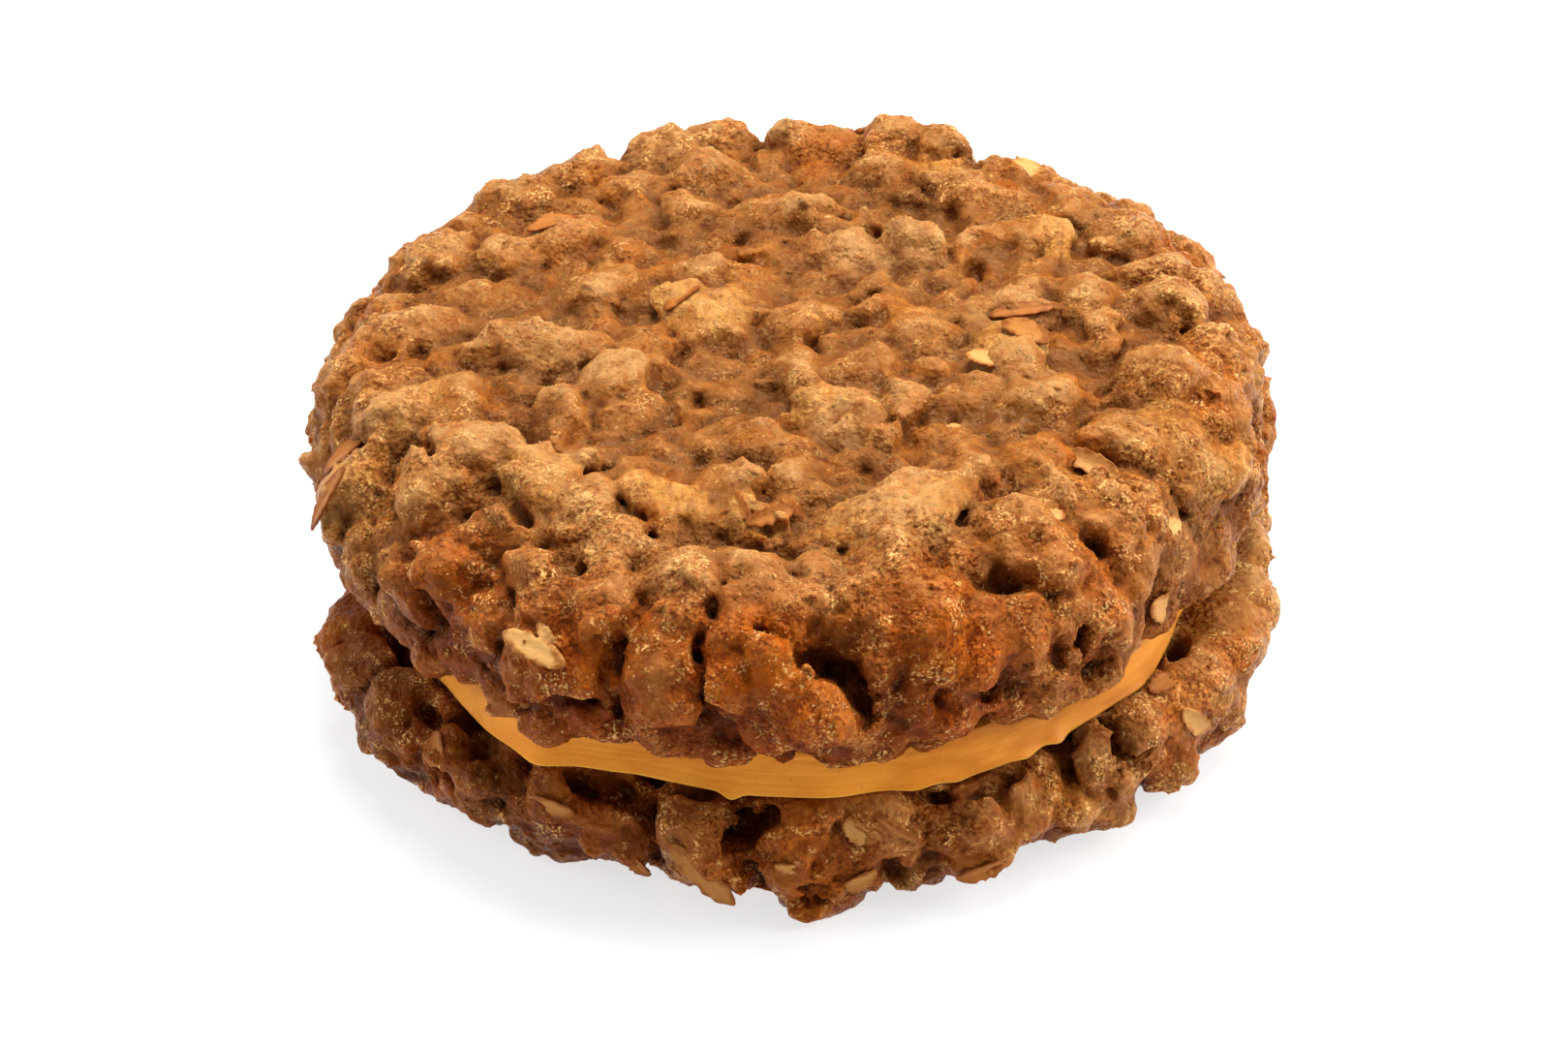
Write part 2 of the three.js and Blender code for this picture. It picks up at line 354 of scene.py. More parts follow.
class Dough:
    """A solid of dough: signed distances on an even grid, with the grid's points warped as dough flows."""

    FAR = 3.0  # the distance, in mm, past which places are all alike
    PROBE = 0.15  # the step in which the surface is looked for, in mm

    def __init__(self, low: np.ndarray, high: np.ndarray, cell: float, rng: np.random.Generator) -> None:
        """Lay out the grid.

        Args:
            low, high: The corners of the space that the dough may fill.
            cell: The grid's spacing.
            rng: The source of all that is random about the dough.
        """
        self.low, self.cell, self.rng = np.array(low, float), cell, rng
        self.calm = np.random.default_rng(17)  # for even relief, apart so that it moves no lump
        self.shape = tuple(int(n) for n in np.ceil((np.array(high) - low) / cell) + 1)
        ticks = [low[i] + cell * np.arange(self.shape[i], dtype=np.float32) for i in range(3)]
        self.place = np.stack(np.meshgrid(*ticks, indexing="ij"), axis=-1).astype(np.float32)
        self.flow = self.place.copy()
        self.distance = np.full(self.shape, self.FAR, np.float32)
        self.oats = self.distance.copy()
        self.grit = np.zeros(self.shape, np.float32)
        self.drift = 0.0

    def roughen(self, size: float, amount: float) -> None:
        """Make whatever is added or cut later uneven at this size, by about this amount."""
        self.grit += amount * self.noise(size)

    def stir(self, size: float, amount: float) -> None:
        """Warp the dough: whatever is added later comes out bent at this size, by about this amount."""
        for i in range(3):
            self.flow[..., i] += amount * self.noise(size)
        self.drift += 3 * amount

    def noise(self, size: float) -> np.ndarray:
        """Noise of one bump size over the grid."""
        return noise_field(self.shape, self.cell, size, self.rng)

    def even(self, size: float) -> np.ndarray:
        """The same, from the generator that moves nothing else."""
        return noise_field(self.shape, self.cell, size, self.calm)

    def billow(self, size: float, amount: float | np.ndarray) -> None:
        """Raise the surface in rounded bumps, half this size across, with creases between them."""
        self.distance -= (amount * (np.abs(self.even(size)) - 0.7)).astype(np.float32)

    def block(self, middle: np.ndarray, extent: float) -> tuple[slice, ...]:
        """The part of the grid within an extent of a point."""
        first = np.floor((middle - extent - self.low) / self.cell).astype(int)
        last = np.ceil((middle + extent - self.low) / self.cell).astype(int) + 1
        return tuple(slice(max(a, 0), max(min(b, n), 1)) for a, b, n in zip(first, last, self.shape))

    def sample(self, values: np.ndarray, points: np.ndarray) -> np.ndarray:
        """Read a grid of values between its points.

        Args:
            values: The grid, of numbers or of vectors.
            points: The places, one to a row.

        Returns:
            A value for each place.
        """
        spot = np.clip((points - self.low) / self.cell, 0, np.array(self.shape) - 1.001)
        index = spot.astype(int)
        share = spot - index
        total = 0.0
        for corner in np.ndindex(2, 2, 2):
            weight = np.prod(np.where(corner, share, 1 - share), axis=1)
            found = values[tuple((index + corner).T)]
            total = total + found * (weight if found.ndim == 1 else weight[:, None])
        return total

    def surface(self, point: np.ndarray, normal: np.ndarray, above: float = 4.0) -> np.ndarray:
        """Come down along a normal to where the dough starts.

        Args:
            point: A place near the surface.
            normal: The way out of the dough.
            above: How far out to start.

        Returns:
            The place on the dough, or the given one where none is met.
        """
        heights = np.arange(above, -above, -self.PROBE)
        line = point + heights[:, None] * normal
        inside = self.sample(self.distance, line) < 0
        return line[int(np.argmax(inside))] if inside.any() else point

    def add(self, blob: Blob, blend: float, is_oat: bool = False) -> None:
        """Join a blob to the dough.

        Args:
            blob: The blob, its middle in unwarped space.
            blend: The fillet in the crease round it.
            is_oat: Whether it is a flake under the dough, which colours it.
        """
        part, own = self._warped(blob, blend)
        away = own.distance(self.flow[part]) + self.grit[part]
        self.distance[part] = joined(self.distance[part], away, blend)
        if is_oat:
            self.oats[part] = np.minimum(self.oats[part], away)

    def cut(self, blob: Blob, blend: float) -> None:
        """Take a blob out of the dough, and round the hollow's edge by a blend."""
        part, own = self._warped(blob, blend + 1.0)
        away = own.distance(self.flow[part]) - 1.5 * self.grit[part]
        self.distance[part] = carved(self.distance[part], away, blend)

    def _warped(self, blob: Blob, blend: float) -> tuple[tuple[slice, ...], Blob]:
        """Find the block that a blob touches, and move its middle as the dough there has flowed."""
        part = self.block(blob.middle, float(blob.radii.max()) + blend + self.drift)
        return part, replace(blob, middle=self.sample(self.flow, blob.middle[None])[0])

    def mesh(self, name: str) -> bpy.types.Object:
        """Turn the dough into a closed mesh in metres, in one part, within the triangle limit."""
        grid = openvdb.FloatGrid(self.FAR)
        grid.copyFromArray(np.clip(self.distance, -self.FAR, self.FAR).astype(np.float32))
        grid.transform = openvdb.createLinearTransform(voxelSize=self.cell)
        points, quads = grid.convertToQuads(isovalue=0.0)
        points, quads = largest_shell(points.astype(np.float64), quads.astype(np.int64))
        piece = mesh_object(name, (points + self.low) * MM, quads)
        triangles = 2 * len(quads)
        if triangles > TRIANGLE_LIMIT:
            thin = piece.modifiers.new("thin", "DECIMATE")
            thin.ratio = TRIANGLE_LIMIT / triangles
            flattened(piece)
        return piece


def largest_shell(points: np.ndarray, quads: np.ndarray) -> tuple[np.ndarray, np.ndarray]:
    """Keep the largest connected shell of a mesh, and drop loose crumbs and sealed bubbles.

    Args:
        points: The mesh's points.
        quads: Its faces, as rows of indices.

    Returns:
        The points and faces that are kept.
    """
    label = np.arange(len(points))
    ends = np.concatenate([quads[:, [0, 1]], quads[:, [1, 2]], quads[:, [2, 3]]])
    while True:
        first, second = label[ends[:, 0]], label[ends[:, 1]]
        merged = label.copy()
        for side in (first, second):
            np.minimum.at(merged, side, np.minimum(first, second))
        merged = merged[merged]
        if np.array_equal(merged, label):
            break
        label = merged
    kept = quads[label[quads[:, 0]] == np.bincount(label[quads[:, 0]]).argmax()]
    used, compact = np.unique(kept, return_inverse=True)
    return points[used], compact.reshape(kept.shape)


def mesh_object(name: str, points: np.ndarray, faces: np.ndarray | list) -> bpy.types.Object:
    """Make an object from points in metres and faces.

    Args:
        name: The piece's name.
        points: One point to a row.
        faces: The faces, as rows of indices.

    Returns:
        The object, shaded smooth and in the scene.
    """
    mesh = bpy.data.meshes.new(name)
    mesh.from_pydata(np.asarray(points).tolist(), [], np.asarray(faces).tolist())
    mesh.shade_smooth()
    piece = bpy.data.objects.new(name, mesh)
    bpy.context.scene.collection.objects.link(piece)
    return piece


def store(piece: bpy.types.Object, name: str, values: np.ndarray) -> None:
    """Store a number or a vector on each vertex of a piece.

    Args:
        piece: The piece, a mesh.
        name: The attribute's name, which the finishes read.
        values: The numbers, or the vectors as rows.
    """
    kind, key = ("FLOAT", "value") if values.ndim == 1 else ("FLOAT_VECTOR", "vector")
    layer = piece.data.attributes.new(name, kind, "POINT")
    layer.data.foreach_set(key, np.ascontiguousarray(values, np.float32).ravel())


def flattened(piece: bpy.types.Object) -> bpy.types.Object:
    """Work out an object's modifiers, once their inputs are set, and leave it a plain mesh.

    Args:
        piece: The object.

    Returns:
        The same object, with no modifier.
    """
    bpy.context.view_layer.update()
    evaluated = piece.evaluated_get(bpy.context.evaluated_depsgraph_get())
    mesh = bpy.data.meshes.new_from_object(evaluated)
    piece.modifiers.clear()
    old = piece.data
    piece.data = mesh
    bpy.data.meshes.remove(old)
    mesh.name = piece.name
    return piece


# ---- landmarks ----


class Kind(Enum):
    """What a landmark on a cookie is."""

    LUMP = "lump"
    SLAB = "slab"  # a flake of oat under a skin of dough
    PIT = "pit"


@dataclass(frozen=True)
class Landmark:
    """Something on a cookie that makes it this one: its place, its half lengths and its height."""

    kind: Kind
    angle: float
    reach: float
    along: float  # half of its length, in mm
    across: float
    height: float  # a crest's rise over the smooth form, or a pit's depth under it
    heading: float = 0.0  # the turn of its length, which points away from the crown at 0
    tilt: float = 0.0


@dataclass(frozen=True)
class Layer:
    """One layer of lumps: their count, half lengths, and crests' heights as shares of the creases' depth."""

    count: int
    size: tuple[float, float]
    rise: tuple[float, float]


@dataclass(frozen=True)
class Relief:
    """How lumpy a cookie is: counts and sizes, in mm, of what covers it."""

    crease: tuple[float, float]  # depth of the smooth core under the form, in the middle and at the side
    shoulder: tuple[float, float]  # distances from the axis between which the one becomes the other
    layers: tuple[Layer, ...]
    slabs: int
    knobs: int
    knob_size: tuple[float, float]
    pores: int
    pore_size: tuple[float, float]
    first: float  # the reaches between which all this lies
    last: float
    hem: tuple[float, float]  # heights from the flat face at which the relief starts, and is whole


TOP_RELIEF = Relief(
    crease=(1.5, 2.9),
    shoulder=(26, 42),
    layers=(
        Layer(330, (2.4, 3.4), (-0.7, -0.4)),
        Layer(250, (3.0, 4.6), (-0.25, 0.1)),
        Layer(620, (1.2, 2.2), (-0.7, -0.3)),
    ),
    slabs=12,
    knobs=340,
    knob_size=(0.5, 1.4),
    pores=30,
    pore_size=(0.3, 0.6),
    first=0,
    last=62,
    hem=(0.0, 6.0),
)
BOTTOM_RELIEF = Relief(
    crease=(2.2, 2.9),
    shoulder=(24, 40),
    layers=(Layer(260, (2.4, 3.8), (-0.75, -0.3)), Layer(200, (3.0, 5.2), (-0.3, 0.1))),
    slabs=30,
    knobs=600,
    knob_size=(0.5, 1.5),
    pores=50,
    pore_size=(0.3, 0.8),
    first=43,
    last=110,
    hem=(0.0, 3.5),
)
# The landmarks are (angle, reach, half length, half width, height, heading, tilt).
TOP_MARKS = {
    Kind.LUMP: [
        (-105, 37.5, 4.2, 4, 0.7), (-105.5, 43.5, 4.6, 4.2, 1.1), (-105.5, 50, 4.6, 4, 0.8),
        (-97, 45.8, 4.4, 4.2, 1.1), (-91.5, 48.8, 5.2, 3.8, 1.3, 40), (-87, 51.3, 4.2, 3.2, 1.1, 40),
        (-93, 52.5, 3.8, 4.6, 0.7), (-90.5, 41, 3.8, 4.4, 0.9), (-96, 42, 2.2, 2.4, 0.6),
        (-95.5, 36.3, 3.6, 4.8, 0.5, 90), (-82, 49, 4.4, 2.6, -0.5), (-77.5, 51, 3.2, 2, 0),
        (-72.5, 50.8, 3.2, 3.2, 0.5), (-81, 40.5, 4.6, 3.6, 0.9, 15), (-77, 37, 3.2, 4.2, 0.7, 90),
        (-74, 43.8, 5.2, 5.4, 1.4, 60), (-69, 46.5, 4.2, 3.8, 0.9), (-57.5, 41.3, 6, 4.6, 1.1, 20),
        (-63, 47.5, 3.6, 4.4, 0.8, 90), (-57, 48.8, 3.8, 3.6, 0.7), (-53, 48.3, 4.8, 3, 1),
        (-46, 48, 4.4, 3.8, 0.7), (-51, 38.3, 4.2, 4.8, 0.8, 60), (-45.5, 41.5, 4, 3.6, 0.7),
        (-62, 30.5, 3.4, 3.4, 0.8, 60), (-67, 27.3, 4.4, 2.8, 0.5, 85), (-120.5, 43.3, 3.4, 4.2, 0.9),
        (-125, 40.8, 3, 3, 0.7), (-113.5, 41.8, 4.4, 3, 0.5), (-116, 35.5, 3.4, 4.6, 0.7, 90),
        (-123, 33, 3.6, 4.4, 0.7, 90), (-137, 44, 4.4, 4, 0.5), (-128, 47.5, 3.6, 3.6, 0.3),
        (-130, 37, 3.4, 3.4, 0.3), (-176, 21.5, 6.8, 2.9, 0.5), (-158, 17.8, 4.6, 3.6, 0.5, 60),
        (-150, 23, 4.4, 3.6, 0.6, 60), (-136, 19, 4, 3.2, 0.5, 30), (-132, 27.3, 1.7, 1.5, 0.7),
        (-104, 23.5, 4.6, 4.6, 0.6), (-165.5, 31.5, 5, 3.6, 0.8, 70), (173, 34, 5.6, 3.2, 0.9, 20),
        (152, 37.5, 5.2, 4.6, 1, 60), (162, 31.5, 4, 3, 0.7), (147, 30.5, 3.6, 3.2, 0.5),
        (150, 20.5, 4.8, 3.8, 0.2, 60), (-175, 13, 4.4, 3.4, 0.5), (-180, 43, 4.4, 3.8, 0.8),
        (-172, 43.5, 4, 3.4, 0.6), (-165, 37.5, 4.6, 4.2, 0.9, 60), (-173.5, 38, 3.4, 3, 0.5),
        (-149, 33.5, 4.6, 4, 0.8, 60), (-146, 38.8, 4, 4, 0.6), (-160, 47.5, 5, 4, 0.6),
        (-72, 16.3, 4.6, 3.8, 1.1, 80), (-65, 20, 2.8, 2.4, 0.6, 60), (-95, 18.5, 4.4, 2.6, 0.5, 80),
        (-82, 10, 2.2, 1.9, 0.4), (20, 1.5, 5.6, 4.6, 0.5), (-22, 23.3, 4.6, 3.2, 0.7, -40),
        (8, 21.5, 5.2, 2.4, 0.7), (66, 15.5, 4.6, 3.4, 0.8, 90), (45, 18.3, 4.6, 3, 1, 80),
        (-52, 17.5, 3.2, 2.8, 0.5), (-30, 16.3, 2.6, 2.2, 0.5), (-32, 22, 3.2, 2.8, 0.5),
        (-31, 27.5, 5.2, 3.4, 0.9, 65), (-56, 29.5, 3.4, 2.8, 0.7, 60), (-4, 29.8, 4.6, 1.7, 1.1, 88),
        (-14, 36, 5.4, 4.8, 1.1, 60), (-24, 28.5, 2.4, 2, 0.4), (9, 28.8, 4.6, 4.2, 0.9, 90),
        (14, 37, 4.8, 3.2, 0.8, 20), (4, 36.5, 4.6, 3, 0.6), (28, 38, 5, 4, 1, 60),
        (38, 37.5, 5, 4, 0.7, 60), (-5, 43.5, 5, 4.6, 0.8), (-12, 45, 4.6, 4, 0.6), (-27, 44, 5, 4, 0.6),
        (-43, 32, 4.4, 4, 0.6, 60), (-32, 36, 4, 3.4, 0.7, 60), (84, 37.5, 5, 4.4, 1.3, 90),
        (70, 38, 4.4, 3.8, 1.3, 90), (63, 38.5, 3.8, 3.4, 0.9, 90), (107, 38.5, 5.2, 4, 1.1, 90),
        (97.5, 39, 4.2, 3.6, 0.7, 90), (131, 38.5, 5.2, 4.2, 0.8, 90), (119, 38.5, 4.2, 3.8, 0.8, 90),
        (138, 28, 5.6, 4.2, 0.9, 60), (116, 32, 4.6, 4, 0.6, 60), (104, 32, 5, 4, 0.8),
        (68, 31.5, 5, 3.6, 0.6, 90), (52, 31, 5.6, 3, 0.8, 80), (96, 21.5, 5, 3.4, 0.5, 90),
        (109, 25, 4.4, 3.4, 0.5, 60),
    ],
    Kind.SLAB: [
        (-73, 31.3, 7.4, 3.8, 1, 88, 4), (-136, 31.8, 4.8, 3.6, 1.1, 60, 8),
        (-118.5, 47.7, 4.4, 2.4, 0.7, 82, 6), (-113, 28.5, 5.4, 2.6, 0.6, 80, 4),
        (-100, 28.5, 4.4, 2.2, 0.4, 40, 10), (150, 7.5, 5.2, 4.2, 0.7, 10, 6),
        (-13, 21.5, 4.2, 3.2, 0.7, -40, 8), (-76, 14, 3, 2.4, 1, 80, 6), (-160, 46, 4.6, 2.2, 0.9, 0, 10),
        (-24, 47, 4.6, 3.2, 0.6, 80, 8), (30, 30, 4.4, 3.2, 0.6, 60, 8),
    ],
    Kind.PIT: [
        (-87, 46, 2.6, 1.8, 5.2, 60), (-84.3, 48, 2.4, 1.3, 4.6, 20), (-84.2, 50.6, 2.1, 0.7, 3.1),
        (-63.5, 42.9, 1.7, 1.4, 3.2, 90), (-57, 50.8, 1.8, 0.7, 1.5), (-51, 43.6, 1.6, 1, 1.9, 20),
        (-100.8, 46.5, 3.4, 0.6, 2), (-100.4, 52, 3.2, 0.9, 3.1), (-111, 47, 2.9, 0.9, 2.9),
        (-111.2, 51.5, 2.7, 0.8, 2.7), (-120, 39.6, 2, 1, 2.4, 80), (-133, 36.6, 2.1, 1, 2, 60),
        (-149, 27.2, 3.5, 1.2, 2.2, 55), (-158, 29.5, 1.4, 1, 2), (-113, 24.8, 2.6, 1.3, 1.7, 85),
        (-153, 37.6, 1.9, 1.3, 2.2, 60), (164, 37.3, 2.9, 1.8, 2.4, 60), (168, 22.5, 3.5, 1.6, 2, 20),
        (-147, 13.5, 1.8, 1.3, 1.4), (-104, 12.3, 3.7, 1.8, 1.8, 85), (-98, 9, 1.6, 1, 1.5),
        (-169.5, 44.3, 1.6, 1.2, 2.2), (179, 38.5, 1.6, 1.1, 1.9, 60), (-74, 24.5, 3, 1.4, 2.4, 86),
        (60, 7.3, 2.1, 1.4, 1.5, 40), (-37, 16.5, 1.4, 1.1, 1.6), (10, 25.4, 2.2, 1, 2, 85),
        (53, 24.8, 4.3, 1.9, 2.2, 88), (69, 25, 3.7, 1.6, 1.7, 88), (30, 21, 1.8, 0.9, 1.5, 60),
        (-55, 32.3, 2.1, 0.9, 2, 30), (-21.5, 31, 2.1, 1.3, 2.9, 20), (-41.5, 41, 1.4, 0.9, 2.2, 40),
        (-33, 32.5, 1.9, 0.8, 1.7, 80), (77, 39, 2.1, 1.1, 2), (91, 39.5, 2.1, 1.1, 1.7),
        (114, 39.5, 1.9, 1, 1.5), (86, 28.5, 2.1, 1.5, 1.7), (46, 35.5, 2.2, 1.3, 1.5, 88),
        (112, 17.5, 2.7, 1.3, 1.6, 40), (119, 23, 2.4, 1, 1.6, 30), (-95, 30.5, 1.8, 1, 1.7, 30),
        (-84, 33.5, 1.6, 1, 1.5, 80), (-137, 48, 1, 0.7, 2), (-131, 49.3, 1, 0.6, 1.9, 60),
        (-143, 46, 1.1, 0.7, 1.9, 30),
    ],
}
BOTTOM_MARKS = {
    Kind.LUMP: [
        (-115, 50, 4.4, 4.4, 0.9), (-124.5, 49.5, 5, 4.8, 0.9), (-133.5, 48.3, 3.2, 2.3, 0.8),
        (-137.5, 46.4, 2.6, 2.4, 0.7), (-134, 52.5, 3.2, 5, 0.3), (-148, 45.5, 4, 3.6, 0.9),
        (-145, 49, 4, 4.2, 0.7), (-157, 46.5, 4.6, 3.4, 1.1), (-153, 50.8, 2.8, 2.6, 0.9),
        (-166, 44, 4.2, 3.6, 0.8), (-164, 50, 4.4, 3.8, 0.8), (-104.5, 50, 5.6, 4.8, 1.6),
        (-105.5, 46.3, 3, 4, 0.7, 90), (-93.5, 50, 4.6, 4, 1.5), (-87.5, 51.5, 5, 4.4, 1.6),
        (-91, 56.3, 4.4, 4.2, 1.9), (-90, 46.5, 3, 4.4, 1, 90), (-79.5, 56.5, 3.6, 3.4, 0.7, 90),
        (-74.5, 49.5, 4.6, 5.2, 0.9), (-66, 48.5, 4.6, 5, 1), (-57, 47, 3.2, 1.8, 0.6),
        (-55.3, 43.2, 1.9, 2, 1.1), (-48.5, 45.3, 3.4, 3.8, 0.9), (-54, 49.8, 2.8, 3.4, 0.9),
        (-45, 51, 4.2, 3.6, 0.9), (-43.5, 43.6, 2, 2.6, 0.9, 90), (-31, 46.5, 5.4, 5, 0.8),
        (-20, 46.5, 5.4, 5, 0.8), (-34, 51.5, 4, 4.4, 0.7), (-50, 48, 5, 4, 0.3, 90),
        (-38, 48.8, 6.5, 5, 0.4, 90), (-26, 48.5, 6.5, 5.2, 0.5, 90), (-12, 48, 6.5, 5.2, 0.4, 90),
    ],
    Kind.SLAB: [
        (-103.5, 51, 4.6, 2.4, 1.9, 42, 4), (-93.5, 47.2, 4.4, 3, 1.6, 20, 8),
        (-83, 47.8, 4.8, 3.4, 1.5, 40, 8), (-122.5, 47.6, 3.8, 2, 1.2, 80, 6),
        (-73, 52.5, 3.6, 2.4, 0.9, 90, 4), (-43, 48.5, 3.8, 2.8, 1, 30, 8),
        (-57.5, 51.5, 3.8, 2.6, 0.9, 70, 4),
    ],
    Kind.PIT: [
        (-110.3, 47.5, 3.1, 0.9, 3.4), (-110.3, 52.5, 3.4, 0.9, 3.1), (-98.5, 47.8, 2.9, 1.2, 4.3, -60),
        (-96, 46, 1.4, 0.9, 3.2), (-92, 52.2, 0.9, 0.6, 1.3, 90), (-88.5, 47, 0.9, 0.5, 1.4),
        (-127.5, 46.3, 2.5, 2, 3.8, 60), (-133.5, 43.9, 2, 1.3, 3.4, 88), (-137.5, 49.2, 2, 1.1, 2.5, 80),
        (-130, 50.5, 1.4, 0.8, 1.8), (-149.5, 48.3, 1.2, 1, 2.2), (-142, 43.8, 2.2, 1.2, 2.7, 80),
        (-116, 44.2, 3.9, 1.4, 3.1, 90), (-105, 43.8, 2.5, 1, 2.5, 90), (-82, 52.3, 2, 1.4, 2.7),
        (-78, 44.8, 3.1, 1.2, 2.5, 90), (-69, 44.2, 3.7, 1.4, 2.9, 90), (-60, 46.6, 1.7, 0.7, 2.2),
        (-53, 45.2, 2.5, 0.9, 3.2), (-51.3, 47.8, 2.4, 0.8, 2.5, 86), (-57.5, 42.8, 1.4, 0.8, 2.3),
        (-36, 42, 2.5, 1.4, 2.7, 70),
    ],
}


class Tint(Enum):
    """What a stain does to the dough's colour."""

    GLAZE = "glaze"  # molten sugar, orange and glossy
    GOLD = "gold"  # a pale crest
    DUSK_AND_SHADE = "dusk"  # dull and dark patches, and painted shade low on the front and under the upper cookie
    PAINTED_SHADE = "baked"  # painted shade: darker and redder on the front and low sides


@dataclass(frozen=True)
class Stain:
    """A place on a cookie whose colour is its own, or where shade is painted."""

    tint: Tint
    angle: float
    reach: float
    radius: float
    strength: float = 1.0


# The stains are (angle, reach, radius, strength).
TOP_STAINS = {
    Tint.GLAZE: [
        (-94, 45, 6.5), (-89, 50, 6), (-73, 43.5, 8), (-66, 47.5, 6, 0.8), (-106, 44, 6, 0.6),
        (-59, 41, 7, 0.7), (-38, 34, 6, 0.8), (-21, 31, 4, 0.9), (-45, 46, 8, 0.8), (-14, 42, 10, 0.7),
        (-95, 42, 3, 0.9), (-112, 31.6, 2.6, 0.9), (-115, 25, 3.6, 0.9), (46, 35.5, 5, 0.9),
        (80, 33.5, 6, 0.8), (70, 40, 7, 0.6), (137, 27, 6, 0.6), (150, 42, 8, 0.6), (180, 40, 7, 0.5),
        (-131, 42, 5, 0.5), (20, 44, 8, 0.6),
    ],
    Tint.GOLD: [
        (-72, 16.4, 5), (-73, 31.5, 7.5), (-136, 31.5, 6, 0.9), (-123, 33, 5, 0.8), (-116, 35.5, 5.5, 0.9),
        (-105, 38, 5.5, 0.8), (-90, 37, 6, 0.6), (57, 16.4, 7, 0.9), (42, 18.5, 5, 0.8), (7, 21, 6, 0.6),
        (-22, 23, 6, 0.6), (-165, 37, 6, 0.7), (-176, 21.5, 7, 0.7), (-158, 18, 5, 0.5), (150, 8, 6, 0.7),
        (107, 38.5, 6, 0.5), (28, 36, 6, 0.5), (-160, 47, 6, 0.7),
    ],
    # dull patches on the crown, and painted shade low on the front
    Tint.DUSK_AND_SHADE: [
        (-101, 12, 7, 0.9), (58, 25, 8), (-78, 25, 5, 0.9), (45, 8, 6, 0.5), (172, 25, 7, 0.6),
        (112, 18, 6, 0.6), (-30, 12, 6, 0.4), (-100, 29, 5, 0.6), (-80, 49.5, 6.5), (-110, 49, 4),
        (-118, 50, 6, 0.6), (-121, 40, 4, 0.8), (-134, 37, 5, 0.7), (-137, 49, 9, 0.8), (-150, 27, 5, 0.6),
    ],
    # painted shade on the front and low sides
    Tint.PAINTED_SHADE: [
        (-95, 51, 17), (-115, 50, 15), (-75, 50, 15), (-134, 49, 13), (-57, 48, 11, 0.5),
    ],
}
BOTTOM_STAINS = {
    # painted shade under the upper cookie and low on the front, with some dull patches
    Tint.DUSK_AND_SHADE: [
        (-128, 49, 12), (-150, 49, 12), (-110, 49, 7), (-98, 47, 5, 0.9), (-80, 53, 6, 0.7),
        (-53, 46, 5, 0.9),
    ],
    Tint.GLAZE: [
        (-64, 49, 8, 0.8), (-73, 53, 5), (-36, 48, 15, 0.9), (-105, 46, 4, 0.6), (-140, 52, 6, 0.5),
    ],
    Tint.GOLD: [
        (-93, 51, 5, 0.7), (-85, 48, 4, 0.8), (-12, 46, 9, 0.6),
    ],
    # painted shade on the front and low sides, and under the upper cookie
    Tint.PAINTED_SHADE: [
        (-50, 48, 12, 0.35), (-95, 51, 18), (-117, 50, 17), (-140, 49, 15), (-162, 47, 16, 0.9),
        (-76, 50, 12, 0.6),
    ],
}


def by_kind(made: type, table: dict[Enum, list[tuple[float, ...]]]) -> list:
    """Read a table of rows by kind.

    Args:
        made: The dataclass that a row describes.
        table: The rows under each kind.

    Returns:
        One object for each row, the kind as its first value.
    """
    return [made(kind, *row) for kind, rows in table.items() for row in rows]


# ---- cookies ----


